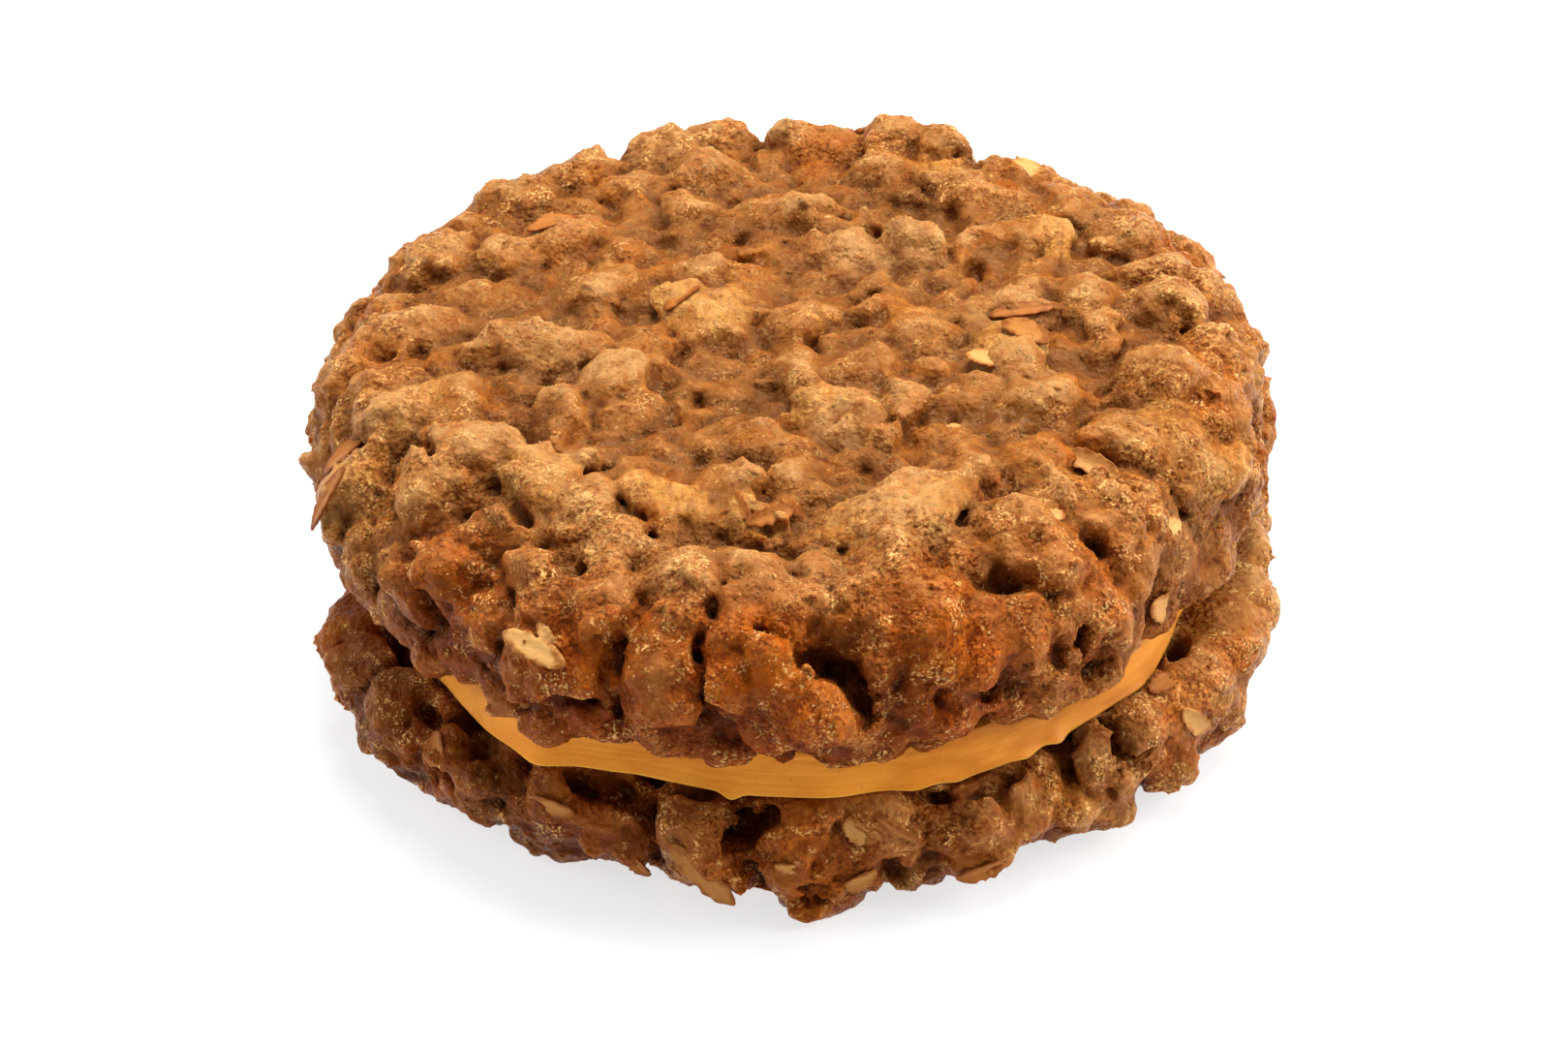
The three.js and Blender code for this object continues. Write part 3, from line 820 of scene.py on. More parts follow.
@dataclass
class Cookie:
    """A baked cookie: its form, its relief, its landmarks and its stains."""

    name: str
    form: Form
    relief: Relief
    marks: list[Landmark]
    stains: list[Stain]
    floor: tuple[float, float, float]  # height and two slopes of the plane that the dough stays above
    ceiling: tuple[float, float, float]  # and of the one that it stays below
    seed: int
    turned_over: bool = False  # whether its crown is down
    droop: float = 0.0  # how far the rim hangs below the flat face, in mm
    cell: float = 0.42  # the spacing of the dough's grid, in mm
    dough: Dough = field(init=False)

    ROOM_OUT, ROOM_DOWN, ROOM_UP = 6.0, 3.5, 4.0  # how far the grid reaches past the form, in mm
    # noises: the size of their bumps, and how far they move the dough, in mm
    UNDULATION = (4.4, 0.3)
    FLOWS = ((12.0, 0.45), (4.5, 0.14))
    ROUGHNESS = ((3.4, 0.1), (1.7, 0.05))
    # the same, with how much further they move it on the side
    BILLOWS = ((6.0, 0.0, 0.2), (3.2, 0.02, 0.11))
    GRAIN = (1.4, 0.055, 0.02)
    SWELL = 7.0  # the size of the waves in how far the dough may stand out
    LUMP_BLEND, SLAB_BLEND, KNOB_BLEND, PORE_BLEND, PLANE_BLEND = 0.45, 0.9, 0.4, 0.25, 0.5
    LUMP_ROOT = 1.5  # how far a lump reaches into the core, in mm
    FLAKE_THICKNESS = 1.1  # half of it, under the dough
    PIT_TOP = 2.5  # how far over the form a pit's tool starts, in mm

    def bake(self) -> bpy.types.Object:
        """Build the cookie's mesh, with the attributes that its finish reads.

        Returns:
            The finished mesh object, undressed.
        """
        rng = np.random.default_rng(self.seed)
        reach = self.form.radius + self.ROOM_OUT
        heights = self.form.section.outline[:, 1]
        x, y = self.form.axis
        low = (x - reach, y - reach, heights.min() - self.ROOM_DOWN)
        high = (x + reach, y + reach, heights.max() + self.ROOM_UP)
        self.dough = Dough(low, high, self.cell * (1), rng)
        self._heap()
        self._press()
        piece = self.dough.mesh(self.name)
        self._record(piece)
        return piece

    def _heap(self) -> None:
        """Heap up the lumps, the flakes under the dough, the knobs and the pores."""
        dough = self.dough
        depth = self._depth(np.hypot(*self.form.across(dough.place)))
        core = (self.form.distance(dough.place) + depth).astype(np.float32)
        size, amount = self.UNDULATION
        dough.distance = core + amount * dough.even(size)
        for size, amount in self.FLOWS:
            dough.stir(size, amount)
        for size, amount in self.ROUGHNESS:
            dough.roughen(size, amount)
        dough.distance += dough.grit
        for layer in self.relief.layers:
            self._heap_layer(layer)
        for mark in self._marks(Kind.LUMP):
            self._lump(mark)
        self._hide_flakes()
        for mark in self._marks(Kind.SLAB):
            self._slab(mark, False)
        middle, side = self.relief.crease
        wall = (depth - middle) / (side - middle)
        wall = wall * smooth_step(self._rise(dough.place), 0.0, 3.0)
        for size, amount, more in self.BILLOWS:
            dough.billow(size, amount + more * wall)
        self._knobs()
        for mark in self._marks(Kind.PIT):
            self._pit(mark)
        self._pores()
        size, amount, more = self.GRAIN
        dough.distance += (amount + more * wall) * dough.noise(size)

    def _rise(self, place: np.ndarray) -> np.ndarray:
        """How far each of an array of points is from the flat face's plane, towards the crown."""
        face = self.ceiling if self.turned_over else self.floor
        x, y = self.form.across(place)
        away = place[..., 2] - face[0] - face[1] * x - face[2] * y
        return -away if self.turned_over else away

    def _depth(self, out: np.ndarray | float) -> np.ndarray | float:
        """The depth of the creases at a distance from the axis."""
        middle, side = self.relief.crease
        return middle + (side - middle) * smooth_step(out, *self.relief.shoulder)

    def _crease(self, reach: float) -> float:
        """The depth of the creases at a reach."""
        return self._depth(self.form.out(reach))

    def _places(self, count: int) -> list[tuple[float, float]]:
        """Spread places evenly over the part of the cookie that has relief."""
        return self.form.spread(count, self.relief.first, self.relief.last)

    def _marks(self, kind: Kind) -> list[Landmark]:
        """The landmarks of one kind."""
        return [mark for mark in self.marks if mark.kind is kind]

    def _free(self, places: list[tuple[float, float]], tall: bool) -> list[tuple[float, float]]:
        """Leave out the places where a lump would hide a landmark.

        Args:
            places: The angle and reach of each.
            tall: Whether the lumps are as high as the landmarks.

        Returns:
            The places that are left.
        """
        room = 0.85 if tall else 0.3  # how near a landmark a lump may be, as a share of its size
        taken = []
        for mark in self.marks:
            own = mark.along if mark.kind is Kind.PIT else 0.5 * (mark.along + mark.across) + 1.2
            taken.append((self.form.place(mark.angle, mark.reach)[0], own * room))
        kept = []
        for angle, reach in places:
            point, _ = self.form.place(angle, reach)
            if all(np.linalg.norm(spot - point) >= gap for spot, gap in taken):
                kept.append((angle, reach))
        return kept

    def _heap_layer(self, layer: Layer) -> None:
        """Heap up one layer of lumps, clear of the landmarks."""
        random = self.dough.rng.uniform
        for angle, reach in self._free(self._places(layer.count), layer.rise[1] > 0):
            along = random(*layer.size)
            across = along * random(0.65, 1.0)
            rise = random(*layer.rise) * self._crease(reach)
            self._lump(Landmark(Kind.LUMP, angle, reach, along, across, rise, random(0, 180)))

    def _hide_flakes(self) -> None:
        """Lay flakes on the lumps, which a skin of dough then covers."""
        random = self.dough.rng.uniform
        for angle, reach in self._places(self.relief.slabs):
            along, rise = random(2.6, 3.8), random(0.0, 0.25)
            turns = random(0, 180), random(-8, 8)
            self._slab(Landmark(Kind.SLAB, angle + 5, reach, along, along * 0.7, rise, *turns), True)

    def _lump(self, mark: Landmark) -> None:
        """Add a lump whose crest rises over the smooth form by the mark's height."""
        point, normal = self.form.place(mark.angle, mark.reach)
        thick = min(0.85 * mark.across, mark.height + self._crease(mark.reach) + self.LUMP_ROOT)
        radii = (mark.along, mark.across, thick)
        middle = point + (mark.height - thick) * normal
        self.dough.add(Blob.lying(middle, normal, radii, mark.heading, mark.tilt), self.LUMP_BLEND)

    def _slab(self, mark: Landmark, settles: bool) -> None:
        """Add a flake under the dough: on what is there if it settles, or else at its height."""
        point, normal = self.form.place(mark.angle, mark.reach)
        thick = self.FLAKE_THICKNESS
        if settles:
            point = self.dough.surface(point, normal)
        else:
            thick = max(thick, 0.55 * (mark.height + self._crease(mark.reach)))
        radii = (mark.along, mark.across, thick)
        middle = point + (mark.height - thick) * normal
        blob = Blob.lying(middle, normal, radii, mark.heading, mark.tilt)
        self.dough.add(blob, self.SLAB_BLEND, is_oat=True)

    def _knobs(self) -> None:
        """Add small lumps to the surface as it stands."""
        dough, random = self.dough, self.dough.rng.uniform
        for angle, reach in self._places(self.relief.knobs):
            jitter = random(-1.5, 1.5, 2)
            point, normal = self.form.place(angle + jitter[0], reach + jitter[1])
            size = random(*self.relief.knob_size) * np.array([1.0, random(0.6, 1), 0.7])
            middle = dough.surface(point, normal) + (random(0.0, 0.4) - size[2]) * normal
            dough.add(Blob.lying(middle, normal, size, random(0, 180), random(-20, 20)), self.KNOB_BLEND)

    def _pit(self, mark: Landmark) -> None:
        """Take out a pit as deep under the smooth form as the mark's height, or less in low relief."""
        point, normal = self.form.place(mark.angle, mark.reach)
        crease = self._crease(mark.reach)
        deep = (min(mark.height, crease * (0.7 + 0.42 * crease)) + self.PIT_TOP) / 2
        radii = (mark.along, mark.across, deep)
        middle = point + (self.PIT_TOP - deep) * normal
        blend = mark.across * (1.1 - 0.2 * crease)
        self.dough.cut(Blob.lying(middle, normal, radii, mark.heading, mark.tilt), blend)

    def _pores(self) -> None:
        """Take small bubbles out of the surface."""
        dough, random = self.dough, self.dough.rng.uniform
        for angle, reach in self._places(self.relief.pores):
            point, normal = self.form.place(angle + 7 + random(-3, 3), reach)
            size = random(*self.relief.pore_size) * np.array([1.0, random(0.6, 1), 1.0])
            middle = dough.surface(point, normal) - 0.2 * size[2] * normal
            dough.cut(Blob.lying(middle, normal, size, random(0, 180), 0), self.PORE_BLEND)

    def _press(self) -> None:
        """Keep the dough between its two planes: the tray that it was baked on and the table or the crown."""
        dough = self.dough
        x, y = self.form.across(dough.place)
        z = dough.place[..., 2]
        hang = self.droop * smooth_step(np.hypot(x, y), self.form.radius - 5, self.form.radius - 2)
        hang = hang * (1 + 0.35 * dough.even(self.SWELL))
        under = self.floor[0] + self.floor[1] * x + self.floor[2] * y - z - hang
        over = z - self.ceiling[0] - self.ceiling[1] * x - self.ceiling[2] * y
        rise = -over if self.turned_over else -under
        room = 0.3 + 4.0 * smooth_step(rise, *self.relief.hem) + 0.45 * dough.noise(self.SWELL)
        beyond = self.form.distance(dough.place).astype(np.float32) - room
        for outside in (under, over, beyond):
            dough.distance = carved(dough.distance, -outside, self.PLANE_BLEND)

    def _record(self, piece: bpy.types.Object) -> None:
        """Store on each vertex what its finish and the scatters read: relief, shelter, flakes and stains."""
        dough = self.dough
        points = np.empty(len(piece.data.vertices) * 3, np.float32)
        piece.data.vertices.foreach_get("co", points)
        points = points.reshape(-1, 3) / MM
        solid = np.clip(0.5 - dough.distance / dough.cell, 0, 1)

        def filled(spread: float, offset: tuple[float, float, float] = (0, 0, 0)) -> np.ndarray:
            """The share of dough within this spread of each point, which an offset moves."""
            return dough.sample(blurred(solid, dough.cell, spread), points + offset)

        middle, side = self.relief.crease
        deep = self._depth(np.hypot(*self.form.across(points)))
        height = np.clip((self.form.distance(points) + deep) / (deep + 0.4), 0, 1)
        around = filled(2.0)
        gap = np.abs(self._rise(points)) / 3
        open_air = smooth_step(gap, 0.1, 0.6) * smooth_step(points[:, 2], 0.4, 1.5)
        crest = 0.35 * height + 0.65 * smooth_step(-around, -0.56, -0.3)
        nook = np.clip(filled(0.7) * 2 - 0.9, 0, 1)
        fields = {
            "crest": crest,
            "nook": nook,
            "hollow": np.clip(around * 2 - 0.9, 0, 1),
            # how much dough lies over a point, where the finish paints shade
            "shelter": smooth_step(filled(1.0, (0, 0, 1.5)), 0.4, 0.95),
            "oat": np.clip(1 - dough.sample(dough.oats, points) / 0.5, 0, 1),
            "side": (deep - middle) / (side - middle),
            # low on the upper cookie's side, where the finish paints shade
            "under": 0 * deep if self.turned_over else 1 - smooth_step(gap, 0.4, 3.4),
            "crumb": open_air * (0.35 + 0.65 * (1 - nook)),
            "sugar": open_air * smooth_step(crest, 0.3, 0.9),
        }
        fields |= {tint.value: self._stained(points, tint) for tint in Tint}
        for name, values in fields.items():
            store(piece, name, values)

    def _stained(self, points: np.ndarray, tint: Tint) -> np.ndarray:
        """How strongly each point is stained with a tint."""
        amount = np.zeros(len(points))
        for stain in self.stains:
            if stain.tint is tint:
                middle, _ = self.form.place(stain.angle, stain.reach)
                away = np.linalg.norm(points - middle, axis=1) / stain.radius
                amount = np.maximum(amount, stain.strength * smooth_step(-away, -1.0, -0.2))
        return amount


@dataclass
class Pie:
    """The pie's sizes, in mm, and its sub-assemblies."""

    top_radius: float = 46.0
    top_thickness: float = 17.5
    bottom_radius: float = 45.5
    bottom_thickness: float = 13.0
    cream_thickness: float = 3.5
    top_axis: tuple[float, float] = (-0.6, 0.9)
    bottom_axis: tuple[float, float] = (0.3, 0.7)
    lean: tuple[float, float] = (-0.012, 0.006)

    def top(self) -> Cookie:
        """The upper cookie, crown up.

        Returns:
            The cookie, unbaked.
        """
        underside = self.bottom_thickness + self.cream_thickness
        shoulder = underside + self.top_thickness
        across, down, rim = 12.0, 10.3, 4.0
        face = self.top_radius - across
        corners = [
            (0, shoulder + 0.5),
            (face * 0.5, shoulder + 0.37),
            *arc((face, shoulder - down), (across, down), 90, 0),
            *arc((self.top_radius - rim, underside + rim), (rim, rim), 0, -90),
            (0, underside),
        ]
        waves = (Wave(2, -0.5, 0.2), Wave(3, 0.3, 0.65), Wave(4, 0.3, 0.0))
        return Cookie(
            name="top_cookie_dough",
            form=Form(Section(corners), self.top_radius, waves, self.top_axis, self.lean),
            relief=TOP_RELIEF,
            marks=by_kind(Landmark, TOP_MARKS),
            stains=by_kind(Stain, TOP_STAINS),
            floor=(underside, *self.lean),
            ceiling=(shoulder + 9, 0, 0),
            seed=11,
            droop=1.2,
        )

    def bottom(self) -> Cookie:
        """The lower cookie, upside down on its crown.

        Returns:
            The cookie, unbaked.
        """
        rim, across, down = 3.0, 7.0, 5.0
        corners = [
            (0, self.bottom_thickness),
            *arc((self.bottom_radius - rim, self.bottom_thickness - rim), (rim, rim), 90, 0),
            *arc((self.bottom_radius - across, down), (across, down), 0, -90),
            (0, 0),
        ]
        waves = (Wave(3, 0.3, -0.3), Wave(4, -0.2, 0.9))
        return Cookie(
            name="bottom_cookie_dough",
            form=Form(Section(corners), self.bottom_radius, waves, self.bottom_axis),
            relief=BOTTOM_RELIEF,
            marks=by_kind(Landmark, BOTTOM_MARKS),
            stains=by_kind(Stain, BOTTOM_STAINS),
            floor=(0, 0, 0),
            ceiling=(self.bottom_thickness, 0, 0),
            seed=23,
            turned_over=True,
        )

    def cream(self) -> "CreamRing":
        """The buttercream between them."""
        top = self.bottom_thickness + self.cream_thickness
        return CreamRing("cream_spread", self.top_axis, self.bottom_thickness, top, self.lean)


# ---- cream and flakes ----


@dataclass(frozen=True)
class Flare:
    """A place where the knife pulled the cream's edge out, or tore it."""

    angle: float
    width: float  # in degrees
    out: float  # in mm
    down: float  # in mm, at the lower edge
    share: float  # how much of the face moves with the lower edge


# The cream's lower edge is (angle about the upper cookie's axis, distance from it).
CREAM_EDGE = [
    (-180, 41.2), (-160, 41), (-142, 41.3), (-131, 43.4), (-123, 44.6), (-118, 43.4), (-111, 42.6),
    (-101, 43.7), (-95, 44.2), (-87, 44.8), (-81, 44.9), (-73, 45.1), (-64, 45), (-60, 44.2), (-54, 44.1),
    (-45, 43.7), (-38, 42.6), (-31, 41.2), (-10, 41), (15, 41.8), (40, 41), (70, 42.4), (95, 41.2),
    (120, 42.2), (150, 41),
]
CREAM_FLARES = [
    Flare(-123, 3.0, 0.5, 0.2, 0.5),
    Flare(-99, 1.2, 0.5, 0.9, 0.3),
    Flare(-78, 2.0, 0.6, 0.2, 0.8),
    Flare(-73, 1.6, 0.4, 0.3, 0.3),
    Flare(-64, 1.6, 0.5, 0.3, 0.3),
    Flare(-59.5, 1.3, 1.1, 0.2, 0.3),
    Flare(-45, 4.0, 0.3, 0.1, 0.5),
    Flare(20, 2.5, 0.5, 0.5, 0.4),
    Flare(72, 2.0, 0.6, 0.6, 0.5),
    Flare(118, 3.0, 0.5, 0.2, 0.6),
    Flare(165, 1.5, 0.5, 0.7, 0.3),
]


@dataclass
class CreamRing:
    """The buttercream that shows between the cookies, spread with a knife."""

    name: str
    axis: tuple[float, float]
    floor: float
    ceiling: float
    lean: tuple[float, float]
    slope: float = 1.6  # how much nearer the axis the upper edge is
    inner: float = 30.0
    around: int = 1100
    up: int = 30
    seed: int = 5

    FLARE = 0.6  # how much of each flare's sizes shows
    RAGGED = 0.07  # in mm
    STRIDE = 22  # steps round the ring along which a knife mark keeps its depth

    def build(self) -> bpy.types.Object:
        """Build the closed ring.

        Returns:
            The mesh object.
        """
        around = self.around // 1
        angle = np.linspace(-180, 180, around, endpoint=False)
        share = np.linspace(0, 1, self.up)[None]  # up the face
        low = np.full(around, self.floor + 0.15)
        reach = self._edge(angle)[:, None] - self.slope * share**0.85
        for flare in CREAM_FLARES:
            near = self.FLARE * np.exp(-(((angle - flare.angle + 180) % 360 - 180) / flare.width) ** 2)
            reach += near[:, None] * flare.out * (1 - share) ** (1 / flare.share)
            low -= near * flare.down
        reach += self._knife_marks(around) * (0.35 + 0.65 * share) - 0.3
        height = low[:, None] + (self.ceiling + 0.8 - low)[:, None] * share
        inside = np.full((around, 1), self.inner)
        reach = np.concatenate([inside, reach[:, :1] * 0.985, reach, inside], axis=1)
        height = np.concatenate([low[:, None] + 0.15, low[:, None] + 0.1, height, height[:, -1:]], axis=1)
        turn = np.radians(angle)[:, None]
        x, y = reach * np.cos(turn), reach * np.sin(turn)
        tilt = np.clip((height - self.floor) / (self.ceiling - self.floor), 0, 1)
        z = height + tilt * (x * self.lean[0] + y * self.lean[1])
        points = np.stack([x + self.axis[0], y + self.axis[1], z], axis=-1)
        return mesh_object(self.name, points.reshape(-1, 3) * MM, wrapped_faces(*reach.shape, True))

    def _edge(self, angle: np.ndarray) -> np.ndarray:
        """The lower edge's distance from the axis, smooth all round."""
        turns = np.array([a + turn for turn in (-360, 0, 360) for a, _ in CREAM_EDGE])
        reach = np.interp(angle, turns, [r for _, r in CREAM_EDGE] * 3)
        ragged = noise_field((len(angle),), 0.26, 11.0, np.random.default_rng(self.seed))
        return rolling_mean(reach[:, None], 7)[:, 0] + self.RAGGED * ragged

    def _knife_marks(self, around: int) -> np.ndarray:
        """Long low ridges along the face, from the knife's edge."""
        rng = np.random.default_rng(self.seed + 1)
        fine = noise_field((around, self.up * 8), 1.0, 9.0, rng)[:, ::8]
        ridges = noise_field((around // self.STRIDE, self.up), 1.0, 2.6, rng)
        ridges = np.repeat(ridges, self.STRIDE, axis=0)
        ridges = np.pad(ridges, ((0, around - len(ridges)), (0, 0)), mode="wrap")
        return 0.025 * rolling_mean(ridges, self.STRIDE) + 0.008 * fine


def rolling_mean(rows: np.ndarray, reach: int) -> np.ndarray:
    """Smooth each column of a grid whose last row is next to its first.

    Args:
        rows: The grid.
        reach: How many rows to either side count, the further the less.

    Returns:
        The smoothed grid.
    """
    weights = np.hanning(2 * reach + 1) / np.hanning(2 * reach + 1).sum()
    padded = np.pad(rows, ((reach, reach), (0, 0)), mode="wrap")
    return np.stack([np.convolve(column, weights, "valid") for column in padded.T], axis=1)


def wrapped_faces(rows: int, columns: int, closed: bool) -> np.ndarray:
    """The faces of a grid of points whose last column is next to its first.

    Args:
        rows, columns: The grid's counts.
        closed: Whether its last row is next to its first, too.

    Returns:
        The faces, as rows of indices.
    """
    index = np.arange(rows * columns).reshape(rows, columns)
    after = np.roll(index, -1, 0)
    corners = [index, after, np.roll(after, -1, 1), np.roll(index, -1, 1)]
    return np.stack(corners, axis=-1)[: None if closed else -1].reshape(-1, 4)


@dataclass(frozen=True)
class Flake:
    """A bare flake of rolled oat that lies in the dough: its place, its size in mm, and how it is turned."""

    angle: float
    reach: float
    length: float
    width: float
    heading: float
    tilt: float
    roll: float
    lift: float  # its middle's height over the dough, before all settle
    curl: float
    pale: float = 0.15  # how little dough and browning is on it


# The flakes are (angle, reach, length, width, heading, tilt, roll, lift, curl, pale).
TOP_FLAKES = [
    (-119.8, 47.4, 7, 2.2, 80, 4, -20, 0.45, 0.2, 1.2), (-119, 46.2, 3, 1.3, 50, 2, -10, 0.3, 0.2, 0.9),
    (-40.6, 36.8, 6, 2, 0, 6, 40, 0.3, 0.5, 0.5), (-11.5, 23.2, 6.4, 2.3, -42, 6, 14, 0.25, 0.3, 0.3),
    (-21, 20.5, 4.4, 2.8, -20, 4, 0, 0.15, 0.2, 0.75), (-37.5, 47, 3, 2, 80, 0, 0, 0.2, 0.2, 1),
    (-54, 39.5, 2.4, 1.4, 70, 0, 0, 0.1, 0.2, 0.7), (-41, 54.5, 5.6, 3, 60, -10, 0, 0.2, 0.4, 0.6),
    (-48, 22.8, 2.2, 1.2, 70, 0, 0, 0, 0.2, 0.5), (51, 41.2, 5.4, 3.2, 10, 22, 10, 0.7, 0.4, 0.8),
    (-166, 44.5, 6.4, 3.2, 0, 10, 12, 0.3, 0.3), (-99, 28.2, 5.6, 1.6, 25, 8, 50, 0.1, 0.3),
    (-93.5, 29.6, 5.4, 1.6, -55, 6, -50, 0.1, 0.3), (156, 10, 5.6, 2.2, 80, 4, 20, 0.05, 0.3),
    (3, 22.5, 6.2, 1.6, 0, 4, 20, 0.15, 0.3), (138, 29, 5.6, 2.2, 70, 4, 0, 0.05, 0.3),
    (-123.5, 54.5, 3.4, 1.6, 80, 0, 0, 0, 0.3), (-158, 47, 7, 2.4, 0, 6, 10, 0.3, 0.3),
    (20, 46, 5.4, 3, 60, 4, 0, -0.1, 0.3), (100, 46, 6, 3.2, 20, 4, 0, -0.1, 0.3),
    (135, 48, 5.4, 3, 70, 4, 0, -0.1, 0.3), (172, 50, 5.6, 3, 80, 4, 0, -0.1, 0.3),
    (65, 50, 5.2, 3, 40, 4, 0, -0.1, 0.3),
]
BOTTOM_FLAKES = [
    (-103.3, 51.2, 8.4, 2.6, 42, 2, 0, 0.05, 0.2, 0.35), (-97.8, 53.6, 5.8, 1.9, 45, 4, 10, -0.05, 0.3),
    (-93.5, 49.6, 2.8, 1.1, 85, 0, 0, 0.1, 0.2, 0.5), (-85.6, 47.5, 3.8, 2.5, 35, 4, 0, 0.2, 0.3, 0.5),
    (-81.5, 47, 5, 1.2, 50, 4, 40, 0.4, 0.3), (-86, 52.5, 3.6, 1.8, -60, 0, 0, 0.15, 0.3, 0.35),
    (-121.6, 47.4, 5.4, 1.9, 94, 4, 0, 0.2, 0.3, 0.3), (-137.5, 46.2, 3.2, 2, 30, 4, 0, 0, 0.3),
    (-72.6, 52.7, 4.8, 2, 100, 4, 0, 0.2, 0.3), (-42, 48.2, 5, 2, 35, 8, 20, 0.3, 0.5, 0.7),
    (-43.5, 43.6, 3.4, 2, 90, 0, 0, 0.2, 0.3), (-56, 52, 4.8, 2.4, 75, 2, 0, 0, 0.3),
    (-112, 53, 3.8, 1.8, 30, 0, 0, -0.1, 0.3), (0, 50, 5.6, 3, 60, 0, 0, -0.1, 0.3),
    (40, 48, 5.6, 3, 30, 0, 0, -0.1, 0.3), (85, 50, 6, 3.2, 80, 0, 0, -0.1, 0.3),
    (120, 49, 5.4, 3, 20, 0, 0, -0.1, 0.3), (160, 50, 5.6, 3, 70, 0, 0, -0.1, 0.3),
]


@dataclass
class FlakeSet:
    """The bare flakes of one cookie, as one mesh."""

    name: str
    cookie: Cookie
    flakes: list[Flake]
    thickness: float = 0.5
    sunk: float = 0.2  # how far all of them settle, in mm
    along: int = 34
    around: int = 26
    seed: int = 3

    def build(self) -> bpy.types.Object:
        """Build the flakes where the baked dough's surface is.

        Returns:
            The mesh object.
        """
        rng = np.random.default_rng(self.seed)
        count = self.along * self.around
        points, own = [], []
        for order, flake in enumerate(self.flakes):
            shell = self._shell(flake, rng).reshape(-1, 3)
            place, normal = self.cookie.form.place(flake.angle, flake.reach)
            ground = self.cookie.dough.surface(place, normal)
            axes = axes_about(normal, flake.heading, flake.tilt)
            rolled = np.array(Matrix.Rotation(math.radians(flake.roll), 3, Vector(axes[0])))
            points.append(ground + (flake.lift - self.sunk) * normal + shell @ axes @ rolled.T)
            own.append(shell / (flake.length / 2, flake.width / 2, 1) + (0, 0, 7 * order))
        faces = [wrapped_faces(self.along, self.around, False) + i * count for i in range(len(points))]
        piece = mesh_object(self.name, np.concatenate(points) * MM, np.concatenate(faces))
        store(piece, "fibre", np.concatenate(own))
        store(piece, "pale", np.repeat([flake.pale for flake in self.flakes], count))
        return piece

    def _shell(self, flake: Flake, rng: np.random.Generator) -> np.ndarray:
        """Shape one flake: a bent oval plate with a groove, fine ribs and a worn edge.

        Args:
            flake: The flake.
            rng: The source of its wear.

        Returns:
            Its points in its own space, in mm.
        """
        u = np.sin(np.linspace(-0.5, 0.5, self.along) * math.pi)[:, None]
        turn = np.linspace(0, 2 * math.pi, self.around, endpoint=False)[None]
        wear = 0.0
        for waves in range(2, 9):
            wear = wear + rng.uniform(-0.06, 0.06) * np.sin(waves * math.pi * u + rng.uniform(0, 6))
        half = np.maximum(1 - np.abs(u) ** 2.4, 0) ** 0.6 * (1 + wear)
        side = np.sign(np.cos(turn))
        v = side * np.abs(np.cos(turn)) ** 0.8
        v = v * (1 + 0.07 * np.sin(5 * u * math.pi + side * 2 + rng.uniform(0, 6)))
        groove = 0.015 * np.sin(v * 13 + 2 * u) - 0.16 * np.exp(-((v / 0.16) ** 2))
        bend = flake.curl * (v * half) ** 2 - 0.35 * flake.curl * u**2
        x = u * flake.length / 2 + 0 * turn
        y = v * half * flake.width / 2
        z = np.sin(turn) * self.thickness / 2 * np.sqrt(half) + groove * (turn < math.pi) * half + bend
        return np.stack([x, y, z], axis=-1)


# ---- scatters ----


